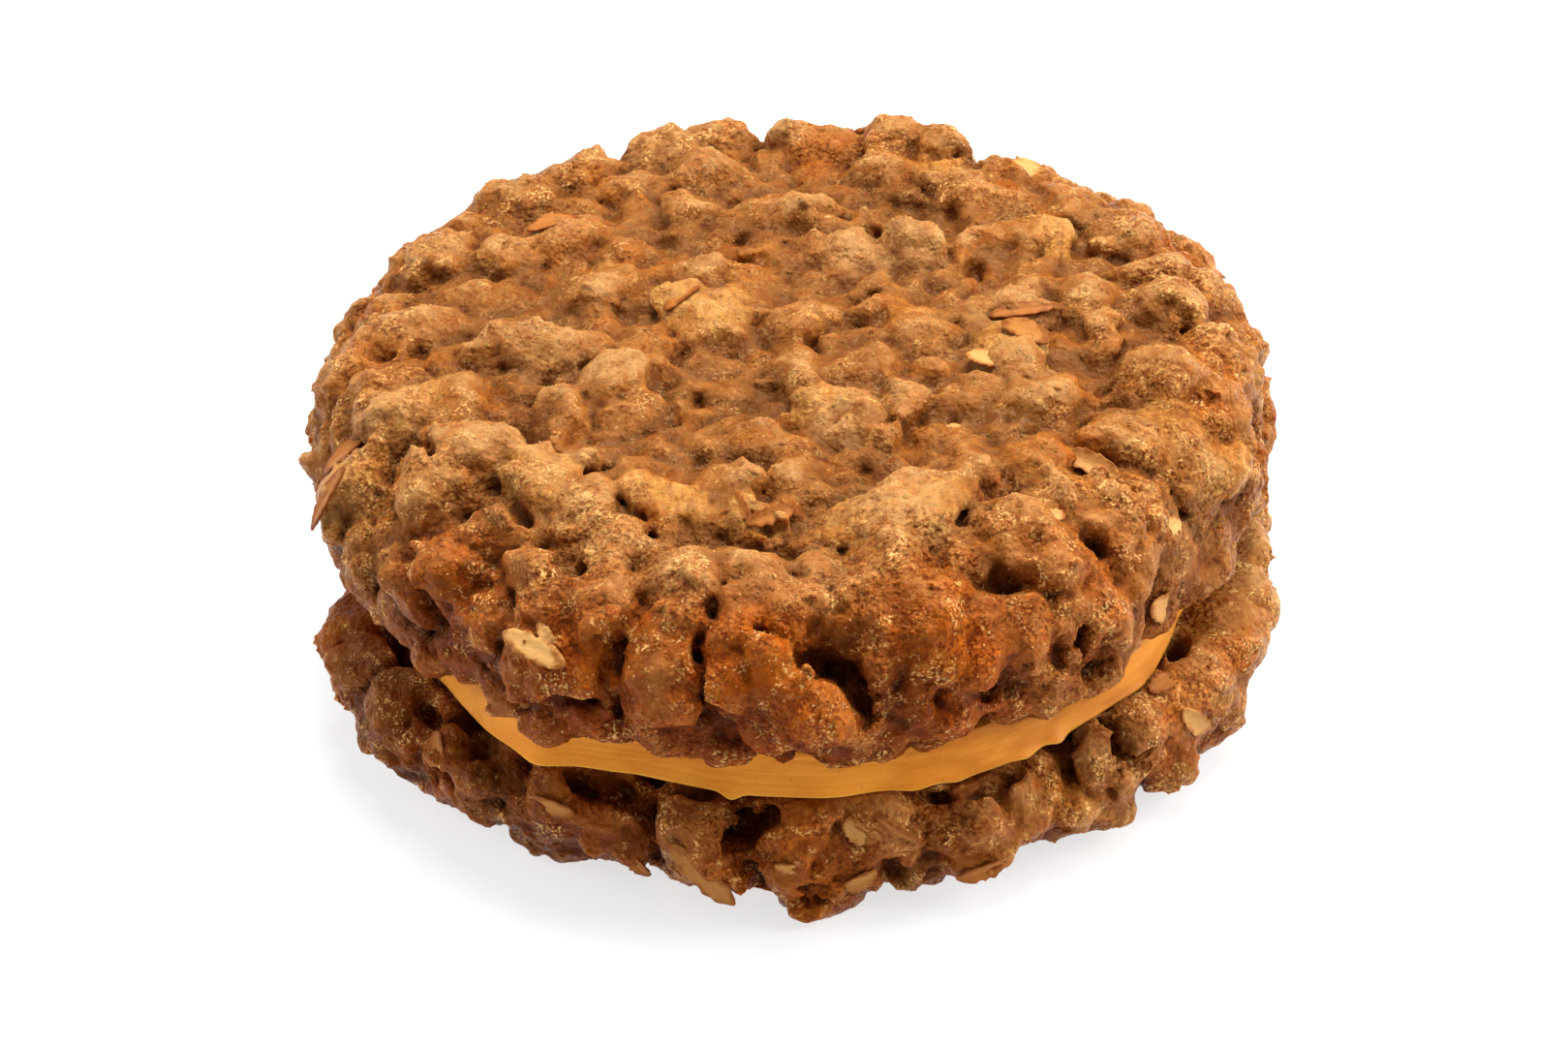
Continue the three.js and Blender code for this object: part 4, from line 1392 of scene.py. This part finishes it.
@dataclass(frozen=True)
class Sprinkle:
    """Small bits that Geometry Nodes scatter over a cookie: sugar, or grains and crumbs of dough."""

    name: str
    density: float  # bits to a square millimetre
    smallest: float  # radii, in mm
    largest: float
    sink: float  # how deep the middles lie, in mm
    ragged: float  # how far their surface moves, in mm
    mask: str  # the attribute that says where they lie
    detail: int  # how finely a ball is divided, or 0 for eight faces
    seed: int

    def over(self, cookie: bpy.types.Object, name: str, material: bpy.types.Material) -> bpy.types.Object:
        """Scatter the bits over a cookie.

        Args:
            cookie: The cookie's mesh object.
            name: The new piece's name.
            material: The bits' finish.

        Returns:
            A plain mesh of the bits alone.
        """
        piece = bpy.data.objects.new(name, cookie.data.copy())
        bpy.context.scene.collection.objects.link(piece)
        modifier = piece.modifiers.new("scatter", "NODES")
        values = {
            "Density": self.density * 1 / MM**2,
            "Smallest": self.smallest * MM,
            "Largest": self.largest * MM,
            "Sink": self.sink * MM,
            "Ragged": self.ragged * MM,
            "Seed": self.seed,
            "Material": material,
        }
        modifier.node_group = self._tree(values)
        for item in modifier.node_group.interface.items_tree:
            if item.item_type == "SOCKET" and item.name in values:
                modifier[item.identifier] = values[item.name]
        return flattened(piece)

    def _tree(self, values: dict[str, object]) -> bpy.types.NodeTree:
        """Build the node tree: points on the dough, and on each a ball, made uneven and given a material.

        Args:
            values: What the tree's inputs will be given, by name.

        Returns:
            The tree.
        """
        tree = bpy.data.node_groups.new(self.name, "GeometryNodeTree")
        kinds = {float: "Float", int: "Int", bpy.types.Material: "Material"}
        tree.interface.new_socket("Dough", in_out="INPUT", socket_type="NodeSocketGeometry")
        for label, value in values.items():
            tree.interface.new_socket(label, in_out="INPUT", socket_type=f"NodeSocket{kinds[type(value)]}")
        tree.interface.new_socket("Bits", in_out="OUTPUT", socket_type="NodeSocketGeometry")
        graph = Graph(tree)
        given = graph.node("NodeGroupInput").outputs
        mask = graph.node("GeometryNodeInputNamedAttribute", {"Name": self.mask}, data_type="FLOAT")
        density = graph.times(given["Density"], mask.outputs["Attribute"])
        inputs = {"Mesh": given["Dough"], "Density": density, "Seed": given["Seed"]}
        spots = graph.node("GeometryNodeDistributePointsOnFaces", inputs).outputs
        sunk = graph.vector("SCALE", spots["Normal"], scale=graph.times(given["Sink"], -1))
        settled = graph.node("GeometryNodeSetPosition", {"Geometry": spots["Points"], "Offset": sunk})
        size = graph.random("FLOAT", given["Smallest"], given["Largest"], 1)
        turn = graph.random("FLOAT_VECTOR", (0, 0, 0), (6.28, 6.28, 6.28), 2)
        squash = graph.random("FLOAT_VECTOR", (0.6, 0.6, 0.5), (1, 1, 0.9), 3)
        scale = graph.vector("SCALE", squash, scale=size)
        inputs = {"Points": settled.outputs[0], "Instance": self._ball(graph), "Rotation": turn}
        placed = graph.node("GeometryNodeInstanceOnPoints", inputs | {"Scale": scale})
        real = graph.node("GeometryNodeRealizeInstances", {"Geometry": placed.outputs[0]})
        inputs = {"Scale": 1 / (2.5 * self.largest * MM), "Detail": 1.0}
        bumps = graph.node("ShaderNodeTexNoise", inputs, noise_dimensions="3D").outputs["Color"]
        centred = graph.vector("SUBTRACT", bumps, (0.5, 0.5, 0.5))
        moved = graph.vector("SCALE", centred, scale=graph.times(given["Ragged"], 2.0))
        uneven = graph.node("GeometryNodeSetPosition", {"Geometry": real.outputs[0], "Offset": moved})
        smooth = graph.node("GeometryNodeSetShadeSmooth", {"Geometry": uneven.outputs[0]})
        inputs = {"Geometry": smooth.outputs[0], "Material": given["Material"]}
        dressed = graph.node("GeometryNodeSetMaterial", inputs)
        graph.node("NodeGroupOutput", {"Bits": dressed.outputs[0]})
        return tree

    def _ball(self, graph: "Graph") -> Socket:
        """One bit before it is made uneven: a ball, or eight faces for what comes in tens of thousands."""
        if self.detail:
            inputs = {"Radius": 1.0, "Subdivisions": self.detail}
            return graph.node("GeometryNodeMeshIcoSphere", inputs).outputs["Mesh"]
        inputs = {"Radius": 1.15, "Segments": 4, "Rings": 2}
        return graph.node("GeometryNodeMeshUVSphere", inputs).outputs["Mesh"]


# The sprinkles are (name, density, smallest, largest, sink, ragged, mask, detail, seed).
SUGAR = Sprinkle("sugar_grains", 0.5, 0.09, 0.17, 0.02, 0.05, "sugar", 1, 4)
GRAINS = Sprinkle("dough_grains", 1.3, 0.1, 0.3, 0.1, 0.12, "crumb", 0, 7)
CRUMBS = Sprinkle("dough_crumbs", 0.05, 0.35, 0.7, 0.35, 0.35, "crumb", 2, 9)


# ---- finishes ----


class Graph:
    """A node tree that is built step by step."""

    def __init__(self, tree: bpy.types.NodeTree) -> None:
        """Start on a tree."""
        self.tree = tree

    def node(self, kind: str, inputs: dict | None = None, **settings: object) -> bpy.types.Node:
        """Add a node.

        Args:
            kind: The node's type.
            inputs: What goes into its sockets, by name or index: another socket, or a value.
            **settings: The node's own settings.

        Returns:
            The node.
        """
        made = self.tree.nodes.new(kind)
        for name, value in settings.items():
            setattr(made, name, value)
        self.fill(made, inputs or {})
        return made

    def fill(self, node: bpy.types.Node, inputs: dict) -> None:
        """Link or set a node's sockets, by name or index."""
        for key, value in inputs.items():
            self.put(node.inputs[key], value)

    def put(self, socket: Socket, value: object) -> None:
        """Link another socket to this one, or set its value."""
        if isinstance(value, Socket):
            self.tree.links.new(value, socket)
        else:
            socket.default_value = value

    def math(self, operation: str, first: object, second: object) -> Socket:
        """A sum of two numbers."""
        return self.node("ShaderNodeMath", {0: first, 1: second}, operation=operation).outputs[0]

    def times(self, first: object, *others: object) -> Socket:
        """The product of numbers."""
        for other in others:
            first = self.math("MULTIPLY", first, other)
        return first

    def vector(self, operation: str, first: object, second: object = None, scale: object = None) -> Socket:
        """A sum of vectors, or a vector times a scale."""
        given = {0: first, 1: second, "Scale": scale}
        inputs = {key: value for key, value in given.items() if value is not None}
        return self.node("ShaderNodeVectorMath", inputs, operation=operation).outputs[0]

    def random(self, kind: str, low: object, high: object, seed: int) -> Socket:
        """A random number or vector for each point."""
        first, out = (0, 0) if kind == "FLOAT_VECTOR" else (2, 1)
        inputs = {first: low, first + 1: high, "Seed": seed}
        return self.node("FunctionNodeRandomValue", inputs, data_type=kind).outputs[out]

    def attribute(self, name: str) -> Socket:
        """A number stored on the mesh."""
        return self.node("ShaderNodeAttribute", attribute_name=name).outputs["Fac"]

    def place(self) -> Socket:
        """The place in the object's own space, in metres."""
        return self.node("ShaderNodeTexCoord").outputs["Object"]

    def noise(self, size: float, detail: float, stretch: tuple = (1, 1, 1), warp: float = 0.0) -> Socket:
        """Noise with bumps of a size in mm, in the object's own space.

        Args:
            size: The size of a bump.
            detail: How much finer noise is on top.
            stretch: The size along each axis, as a multiple.
            warp: The distortion.

        Returns:
            The noise, from 0 to 1.
        """
        scale = tuple(1 / (size * MM * part) for part in stretch)
        scaled = self.node("ShaderNodeMapping", {"Vector": self.place(), "Scale": scale}).outputs[0]
        inputs = {"Vector": scaled, "Scale": 1.0, "Detail": detail, "Distortion": warp}
        return self.node("ShaderNodeTexNoise", inputs).outputs["Fac"]

    def cells(self, size: float) -> list[Socket]:
        """Split space into small crystals.

        Args:
            size: The size of a crystal, in mm.

        Returns:
            Three random numbers for each crystal, and the three as one colour.
        """
        inputs = {"Vector": self.place(), "Scale": 1 / (size * MM)}
        chosen = self.node("ShaderNodeTexVoronoi", inputs).outputs["Color"]
        return [*self.node("ShaderNodeSeparateColor", {"Color": chosen}).outputs, chosen]

    def faceted(self, normal: object, chosen: object, amount: float) -> Socket:
        """Turn each crystal's normal its own way.

        Args:
            normal: The surface's normal.
            chosen: A random colour for each crystal.
            amount: How far the normals turn.

        Returns:
            The new normal.
        """
        centred = self.vector("SUBTRACT", chosen, (0.5, 0.5, 0.5))
        turned = self.vector("ADD", normal, self.vector("SCALE", centred, scale=amount))
        return self.vector("NORMALIZE", turned)

    def ramp(self, value: object, low: float, high: float, start: float = 0.0, end: float = 1.0) -> Socket:
        """Bring a number from one range smoothly to another."""
        inputs = {"Value": value, "From Min": low, "From Max": high, "To Min": start, "To Max": end}
        made = self.node("ShaderNodeMapRange", inputs, interpolation_type="SMOOTHSTEP")
        return made.outputs["Result"]

    def mix(self, first: object, second: object, factor: object, blend: str = "MIX") -> Socket:
        """Mix two colours."""
        inputs = {0: factor, 6: first, 7: second}
        return self.node("ShaderNodeMix", inputs, data_type="RGBA", blend_type=blend).outputs[2]

    def coated(self, colour: object, *coats: tuple) -> Socket:
        """Lay coats over a colour, one after the other.

        Args:
            colour: What is underneath.
            *coats: Each one's colour, how much of it shows, and how it blends if not plainly.

        Returns:
            The colour on top.
        """
        for coat in coats:
            colour = self.mix(colour, *coat)
        return colour

    def bump(self, height: object, depth: float, strength: object, normal: object = None) -> Socket:
        """Tilt the surface's normal by a height, whose full range is a depth in mm."""
        inputs = {"Height": height, "Distance": depth * MM, "Strength": strength}
        if normal is not None:
            inputs["Normal"] = normal
        return self.node("ShaderNodeBump", inputs).outputs["Normal"]


@dataclass(frozen=True)
class Finish:
    """What a piece's surface looks like."""

    name: str

    def make(self) -> bpy.types.Material:
        """Build the material.

        Returns:
            The material.
        """
        material = bpy.data.materials.new(self.name)
        material.use_nodes = True
        shader = material.node_tree.nodes["Principled BSDF"]
        graph = Graph(material.node_tree)
        graph.fill(shader, self.sockets(graph))
        return material

    def sockets(self, graph: Graph) -> dict[str, object]:
        """What goes into the Principled shader, by the name of its socket."""
        raise NotImplementedError


@dataclass(frozen=True)
class DoughFinish(Finish):
    """Baked oat dough: tan crests, brown hollows, patches of molten sugar, and a sandy grain, with painted
    shade in hollows, creases, under overhangs and on the low and front sides, and painted glints.
    """

    crust: tuple = srgb(140, 87, 37)
    brown: tuple = srgb(118, 72, 32)
    gold: tuple = srgb(170, 125, 75)
    amber: tuple = srgb(154, 86, 20)
    pale: tuple = srgb(188, 132, 60)
    # painted shade, in the deepest creases near the side
    deep_crease_shade: tuple = srgb(46, 17, 3)
    # dull dark patches, and painted shade in the hollows and low on the front
    dusk: tuple = srgb(98, 60, 26)
    glaze: tuple = srgb(152, 76, 3)
    # painted glints
    sparkle: tuple = srgb(226, 176, 106)
    sheen: tuple = (1.0, 0.72, 0.42, 1.0)
    # what a place keeps of its colour, or gains
    shade: tuple = (0.5, 0.34, 0.22, 1.0)  # under an overhang
    bright: tuple = (1.36, 1.38, 1.32, 1.0)  # in the paler grains
    crease_shade: tuple = (0.52, 0.34, 0.16, 1.0)  # painted shade in the creases between lumps
    sand: tuple = (0.71, 0.49, 0.33, 1.0)  # in the darker grains
    baked: tuple = (0.85, 0.45, 0.13, 1.0)  # painted shade on the front and low sides, darker and redder
    toast: tuple = (0.8, 0.62, 0.44, 1.0)  # painted shade low on the upper cookie's side, above the cream

    def sockets(self, graph: Graph) -> dict[str, object]:
        """What goes into the Principled shader, by the name of its socket."""
        blotch, mottle, grain = graph.noise(7.0, 3.0, warp=0.4), graph.noise(2.0, 3.0), graph.noise(0.55, 2.0)
        crystal, side = graph.cells(0.3), graph.attribute("side")
        glazed = graph.times(graph.attribute("glaze"), graph.ramp(blotch, 0.35, 0.6, 0.2, 1))
        glazed = graph.times(glazed, graph.ramp(mottle, 0.3, 0.62, 0.35, 1))
        crusty = graph.ramp(graph.noise(5.0, 2.0), 0.4, 0.62, 0.25, 1)
        crusty = graph.times(crusty, graph.ramp(side, 0, 1, 0.7, 1.6))
        sandy = graph.math("ADD", graph.ramp(grain, 0.3, 0.7, -0.25, 0.25), crystal[0])
        colour = self._browned(graph, blotch, mottle, glazed)
        colour = self._grained(graph, self._shaded(graph, colour, side), sandy, crusty, side)
        rough = graph.math("ADD", graph.times(crystal[2], 0.3), 0.28)
        rough = graph.math("SUBTRACT", rough, graph.times(glazed, 0.12))
        crumbly = graph.bump(graph.noise(2.4, 2.0), 1.0, graph.ramp(side, 0, 1, 0.25, 0.7))
        coarse = graph.bump(graph.noise(1.1, 2.0), 0.5, 0.85, crumbly)
        fine = graph.bump(grain, 0.4, graph.times(crusty, 0.7), coarse)
        return {
            "Base Color": colour,
            "Roughness": rough,
            "Normal": graph.faceted(fine, crystal[3], graph.times(crusty, 0.4)),
            "Specular IOR Level": 0.1,
            "Specular Tint": self.sheen,
            "Subsurface Weight": 0.55,
            "Subsurface Radius": (1.0, 0.42, 0.14),
            "Subsurface Scale": 1.3 * MM,
        }

    def _browned(self, graph: Graph, blotch: object, mottle: object, glazed: object) -> object:
        """Colour the dough by its height, its patches and its stains, with shade painted in its hollows, low on
        its side and on its front.

        Args:
            graph: The material's graph.
            blotch, mottle: Broad and middling noise.
            glazed: How much molten sugar shows.

        Returns:
            The colour.
        """
        patch, streaks = graph.noise(4.0, 3.0, warp=0.6), graph.noise(1.2, 2.0, stretch=(0.4, 2.5, 1))
        hollow = graph.attribute("hollow")
        level = graph.math("ADD", graph.attribute("crest"), graph.math("SUBTRACT", blotch, 0.5))
        # darker in the hollows: partly painted shade
        level = graph.math("SUBTRACT", level, graph.ramp(hollow, 0.1, 0.6, 0, 0.9))
        raised = graph.math("ADD", level, graph.math("SUBTRACT", mottle, 0.5))
        dusky = graph.ramp(mottle, 0.25, 0.7, 1, 0.4)
        return graph.coated(
            self.brown,
            (self.crust, graph.ramp(level, -0.1, 0.6)),
            (self.gold, graph.ramp(raised, 0.45, 1.1, 0, 0.8)),
            (self.amber, graph.ramp(patch, 0.5, 0.66, 0, 0.45)),
            (self.pale, graph.times(graph.attribute("oat"), graph.ramp(streaks, 0.35, 0.65, 0.1, 0.6))),
            (self.gold, graph.times(graph.attribute("gold"), graph.ramp(mottle, 0.3, 0.6, 0.25, 0.85))),
            # dull patches, and painted shade low on the front
            (self.dusk, graph.times(graph.attribute("dusk"), dusky, 0.8)),
            # painted shade low on the upper cookie's side
            (self.toast, graph.attribute("under"), "MULTIPLY"),
            # painted shade, darker and redder on the front and low sides
            (self.baked, graph.attribute("baked"), "MULTIPLY"),
            (self.glaze, graph.times(glazed, 0.8)),
            # painted shade in the hollows
            (self.dusk, graph.ramp(hollow, 0.35, 0.9, 0, 0.4)),
        )

    def _shaded(self, graph: Graph, colour: object, side: object) -> object:
        """Paint shade into the colour under overhangs and in creases, the more so the nearer the side.

        Args:
            graph: The material's graph.
            colour: The colour so far.
            side: How near the side a place is.

        Returns:
            The colour.
        """
        nook = graph.attribute("nook")
        deepest = graph.times(graph.ramp(side, 0, 1, 0.35, 0.9), graph.ramp(nook, 0.38, 0.88))
        return graph.coated(
            colour,
            (self.shade, graph.attribute("shelter"), "MULTIPLY"),
            (self.crease_shade, graph.ramp(nook, 0.12, 0.5, 0, 0.75), "MULTIPLY"),
            (self.deep_crease_shade, deepest),
        )

    def _grained(self, graph: Graph, colour: object, sandy: object, crusty: object, side: object) -> object:
        """Break the colour up into darker and paler grains, with a painted glint here and there.

        Args:
            graph: The material's graph.
            colour: The colour so far.
            sandy: A random number for each grain.
            crusty: How strong the grain is.
            side: How near the side a place is.

        Returns:
            The colour.
        """
        spark = graph.ramp(graph.cells(0.19)[0], 0.62, 0.9, 0, 0.75)
        glint = graph.times(spark, graph.ramp(graph.noise(2.4, 3.0, warp=0.8), 0.5, 0.68))
        glint = graph.times(glint, graph.ramp(graph.attribute("crest"), 0.1, 0.6, 0.45, 1))
        return graph.coated(
            colour,
            (self.sand, graph.ramp(graph.noise(1.3, 3.0), 0.55, 0.36, 0, 0.6), "MULTIPLY"),
            (self.sand, graph.times(graph.ramp(sandy, 0.5, 0.0, 0, 0.8), crusty), "MULTIPLY"),
            (self.bright, graph.times(graph.ramp(sandy, 0.6, 1.0, 0, 0.8), crusty), "MULTIPLY"),
            (self.sparkle, graph.times(glint, graph.ramp(side, 0, 1, 0.7, 1.2))),
        )


@dataclass(frozen=True)
class CreamFinish(Finish):
    """Caramel buttercream, satin, with a faint grain, and painted shade on its right under the upper cookie's
    rim.
    """

    name: str = "caramel buttercream"
    body: tuple = srgb(240, 154, 48)
    warm: tuple = srgb(228, 140, 36)
    speck: tuple = srgb(150, 82, 28)
    thin: tuple = (0.68, 0.63, 0.66, 1.0)  # painted shade on the right, under the upper cookie's rim: what is left of the colour there

    def sockets(self, graph: Graph) -> dict[str, object]:
        """What goes into the Principled shader, by the name of its socket."""
        drift = graph.noise(5.0, 3.0, stretch=(1, 1, 0.35))
        place = graph.node("ShaderNodeSeparateXYZ", {0: graph.place()})
        # painted shade on the right
        right = graph.ramp(place.outputs["X"], 36 * MM, 26 * MM, 0.3, 1)
        right = graph.times(right, graph.ramp(place.outputs["X"], 2 * MM, 15 * MM))
        specks = graph.ramp(graph.noise(0.4, 0.0), 0.79, 0.82)
        colour = graph.coated(
            self.warm,
            (self.body, graph.ramp(drift, 0.3, 0.65)),
            (self.thin, graph.times(right, graph.ramp(drift, 0.3, 0.7, 1, 0.6)), "MULTIPLY"),
            (self.speck, graph.times(specks, 0.3)),
        )
        ridges = graph.bump(graph.noise(1.6, 2.0, stretch=(5, 5, 0.3)), 0.12, 0.6)
        return {
            "Base Color": colour,
            "Normal": graph.bump(graph.noise(0.4, 1.0), 0.04, 0.4, ridges),
            "Roughness": 0.42,
            "Specular IOR Level": 0.15,
            "Subsurface Weight": 0.25,
            "Subsurface Radius": (1.0, 0.6, 0.25),
            "Subsurface Scale": 1.5 * MM,
        }


@dataclass(frozen=True)
class OatFinish(Finish):
    """Bare rolled oat: straw-coloured, with fine fibres along the flake and dough on its rim."""

    name: str = "rolled oat"
    bare: tuple = srgb(202, 152, 88)
    straw: tuple = srgb(184, 122, 52)
    toast: tuple = srgb(166, 98, 32)
    crust: tuple = srgb(136, 76, 22)
    soaked: tuple = (0.74, 0.6, 0.44, 1.0)  # what a flake under a film of dough keeps

    def sockets(self, graph: Graph) -> dict[str, object]:
        """What goes into the Principled shader, by the name of its socket."""
        own = graph.node("ShaderNodeAttribute", attribute_name="fibre").outputs["Vector"]
        along = graph.node("ShaderNodeMapping", {"Vector": own, "Scale": (0.8, 7.0, 1.0)}).outputs[0]
        inputs = {"Vector": along, "Scale": 1.0, "Detail": 2.0}
        fibres = graph.node("ShaderNodeTexNoise", inputs).outputs["Fac"]
        flat = graph.vector("MULTIPLY", own, (1, 1, 0))
        out = graph.node("ShaderNodeVectorMath", {0: flat}, operation="LENGTH").outputs["Value"]
        uneven = graph.times(graph.math("SUBTRACT", graph.noise(1.1, 3.0), 0.5), 1.4)
        rim = graph.math("ADD", out, uneven)
        pale = graph.attribute("pale")
        colour = graph.coated(
            self.toast,
            (self.straw, graph.ramp(fibres, 0.3, 0.65)),
            (self.crust, graph.ramp(rim, 0.55, 1.05, 0, 0.9)),
            (self.bare, graph.times(pale, graph.ramp(rim, 1.1, 0.5))),
            (self.soaked, graph.ramp(pale, 0.6, 0.1), "MULTIPLY"),
        )
        sandy = graph.bump(graph.noise(0.5, 2.0), 0.2, 0.5)
        return {
            "Base Color": colour,
            "Normal": graph.bump(fibres, 0.06, 0.4, sandy),
            "Roughness": 0.5,
            "Specular IOR Level": 0.12,
            "Subsurface Weight": 0.15,
            "Subsurface Radius": (1.0, 0.7, 0.4),
            "Subsurface Scale": 0.8 * MM,
        }


@dataclass(frozen=True)
class SugarFinish(Finish):
    """Sugar grains that melted a little: pale, warm and glassy."""

    name: str = "sugar grains"
    pale: tuple = srgb(208, 146, 78)
    amber: tuple = srgb(170, 98, 36)

    def sockets(self, graph: Graph) -> dict[str, object]:
        """What goes into the Principled shader, by the name of its socket."""
        return {
            "Base Color": graph.mix(self.amber, self.pale, graph.ramp(graph.noise(0.7, 0.0), 0.35, 0.65)),
            "Roughness": 0.18,
            "Subsurface Weight": 0.3,
            "Subsurface Radius": (1.0, 0.7, 0.4),
            "Subsurface Scale": 0.6 * MM,
        }


@dataclass(frozen=True)
class TableFinish(Finish):
    """A plain matt white light table."""

    name: str = "light table"
    white: tuple = (1.0, 1.0, 1.0, 1.0)
    grey: tuple = (0.4, 0.4, 0.4, 1.0)
    glow: float = 0.68

    def sockets(self, graph: Graph) -> dict[str, object]:
        """What goes into the Principled shader, by the name of its socket."""
        return {
            "Base Color": self.grey,
            "Emission Color": self.white,
            "Emission Strength": self.glow,
            "Roughness": 0.8,
            "Specular IOR Level": 0.1,
        }


def dress(piece: bpy.types.Object, material: bpy.types.Material, slot: str, *nodes: str) -> None:
    """Give a piece its finish and its body, and hide the solids that it stands for.

    Args:
        piece: The finished mesh object.
        material: Its material.
        slot: Not used.
        *nodes: The CAD nodes that it replaces.
    """
    piece.data.materials.clear()
    piece.data.materials.append(material)
    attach(piece, BODY)
    if nodes:
        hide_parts(*nodes)
    log.info("%s: %d faces", piece.name, len(piece.data.polygons))


# ---- studio ----


@dataclass(frozen=True)
class Lamp:
    """A soft square lamp that points at the pie: its place and size in metres, and its power in watts."""

    name: str
    place: tuple[float, float, float]
    size: float
    power: float

    def hang(self, aim: Vector) -> None:
        """Hang the lamp so that it points at a place."""
        lamp = bpy.data.lights.new(self.name, "AREA")
        lamp.size = self.size
        lamp.energy = self.power
        light = bpy.data.objects.new(self.name, lamp)
        light.location = self.place
        light.rotation_euler = (aim - Vector(self.place)).to_track_quat("-Z", "Y").to_euler()
        bpy.context.scene.collection.objects.link(light)


@dataclass(frozen=True)
class Studio:
    """The floor, the light and the camera."""

    lamps: tuple[Lamp, ...] = (
        Lamp("key", (0.14, 0.22, 0.82), 0.5, 12.9),
        Lamp("right", (0.56, -0.04, 0.34), 0.4, 3.7),
        Lamp("left", (-0.55, 0.1, 0.3), 0.4, 1.6),
    )
    sky: float = 0.35
    floor_size: float = 6.0
    aim: tuple[float, float, float] = (-0.00138, -0.00208, 0.01375)
    elevation: float = 35.0
    distance: float = 0.4
    roll: float = -3.27
    lens: float = 95.8

    def build(self) -> None:
        """Set up the floor, the lights, the world and the camera."""
        scene = bpy.context.scene
        bpy.ops.mesh.primitive_plane_add(size=self.floor_size)
        floor = bpy.context.object
        floor.name = "floor"
        floor.data.materials.append(TableFinish().make())
        for lamp in self.lamps:
            lamp.hang(Vector(self.aim))
        scene.world = bpy.data.worlds.new("studio")
        scene.world.use_nodes = True
        background = scene.world.node_tree.nodes["Background"].inputs
        background["Color"].default_value = (1, 1, 1, 1)
        background["Strength"].default_value = self.sky
        scene.view_settings.view_transform = "Standard"
        self._camera()

    def _camera(self) -> None:
        """Set up the camera at the elevation and distance, and point it."""
        tilt = math.radians(self.elevation)
        level = Euler((math.pi / 2 - tilt, 0, 0)).to_matrix()
        turn = level @ Matrix.Rotation(math.radians(self.roll), 3, "Z")
        camera = bpy.data.cameras.new("camera")
        camera.lens = self.lens
        eye = bpy.data.objects.new("camera", camera)
        back = Vector((0, -math.cos(tilt), math.sin(tilt)))
        eye.matrix_world = Matrix.Translation(Vector(self.aim) + back * self.distance) @ turn.to_4x4()
        bpy.context.scene.collection.objects.link(eye)
        bpy.context.scene.camera = eye


@dataclass
class Half:
    """One cookie with all that lies on it."""

    node: str  # the solid that it stands for, which also names its pieces
    cookie: Cookie
    finish: DoughFinish
    flakes: list[tuple[float, ...]]
    sprinkles: tuple[Sprinkle, ...]

    def build(self, oat: bpy.types.Material, sugar: bpy.types.Material) -> None:
        """Build and dress the cookie, its bare flakes and its grains and crumbs.

        Args:
            oat: The bare flakes' material.
            sugar: The sugar grains' material.
        """
        dough = self.finish.make()
        piece = self.cookie.bake()
        dress(piece, dough, self.node, self.node)
        flakes = [Flake(*row) for row in self.flakes]
        dress(FlakeSet(f"{self.node}_oats", self.cookie, flakes).build(), oat, self.node)
        for sprinkle in self.sprinkles:
            material = sugar if sprinkle is SUGAR else dough
            bits = sprinkle.over(piece, f"{self.node}_{sprinkle.name}", material)
            dress(bits, material, self.node)


LOWER_PAINTED_SHADE = (0.78, 0.44, 0.15, 1.0)  # painted shade of the lower cookie: what its colour keeps on the front and low sides


def main() -> None:
    """Build the pie and its studio."""
    logging.basicConfig(level=logging.INFO, format="%(message)s")
    pie = Pie()
    upper = DoughFinish("upper cookie's dough")
    lower = DoughFinish("lower cookie's dough", baked=LOWER_PAINTED_SHADE)
    oat, sugar = OatFinish().make(), SugarFinish().make()
    Half("top_cookie", pie.top(), upper, TOP_FLAKES, (SUGAR, GRAINS, CRUMBS)).build(oat, sugar)
    Half("bottom_cookie", pie.bottom(), lower, BOTTOM_FLAKES, (GRAINS, CRUMBS)).build(oat, sugar)
    dress(pie.cream().build(), CreamFinish().make(), "cream_filling", "cream_filling")
    Studio().build()


if __name__ == "__main__":
    main()
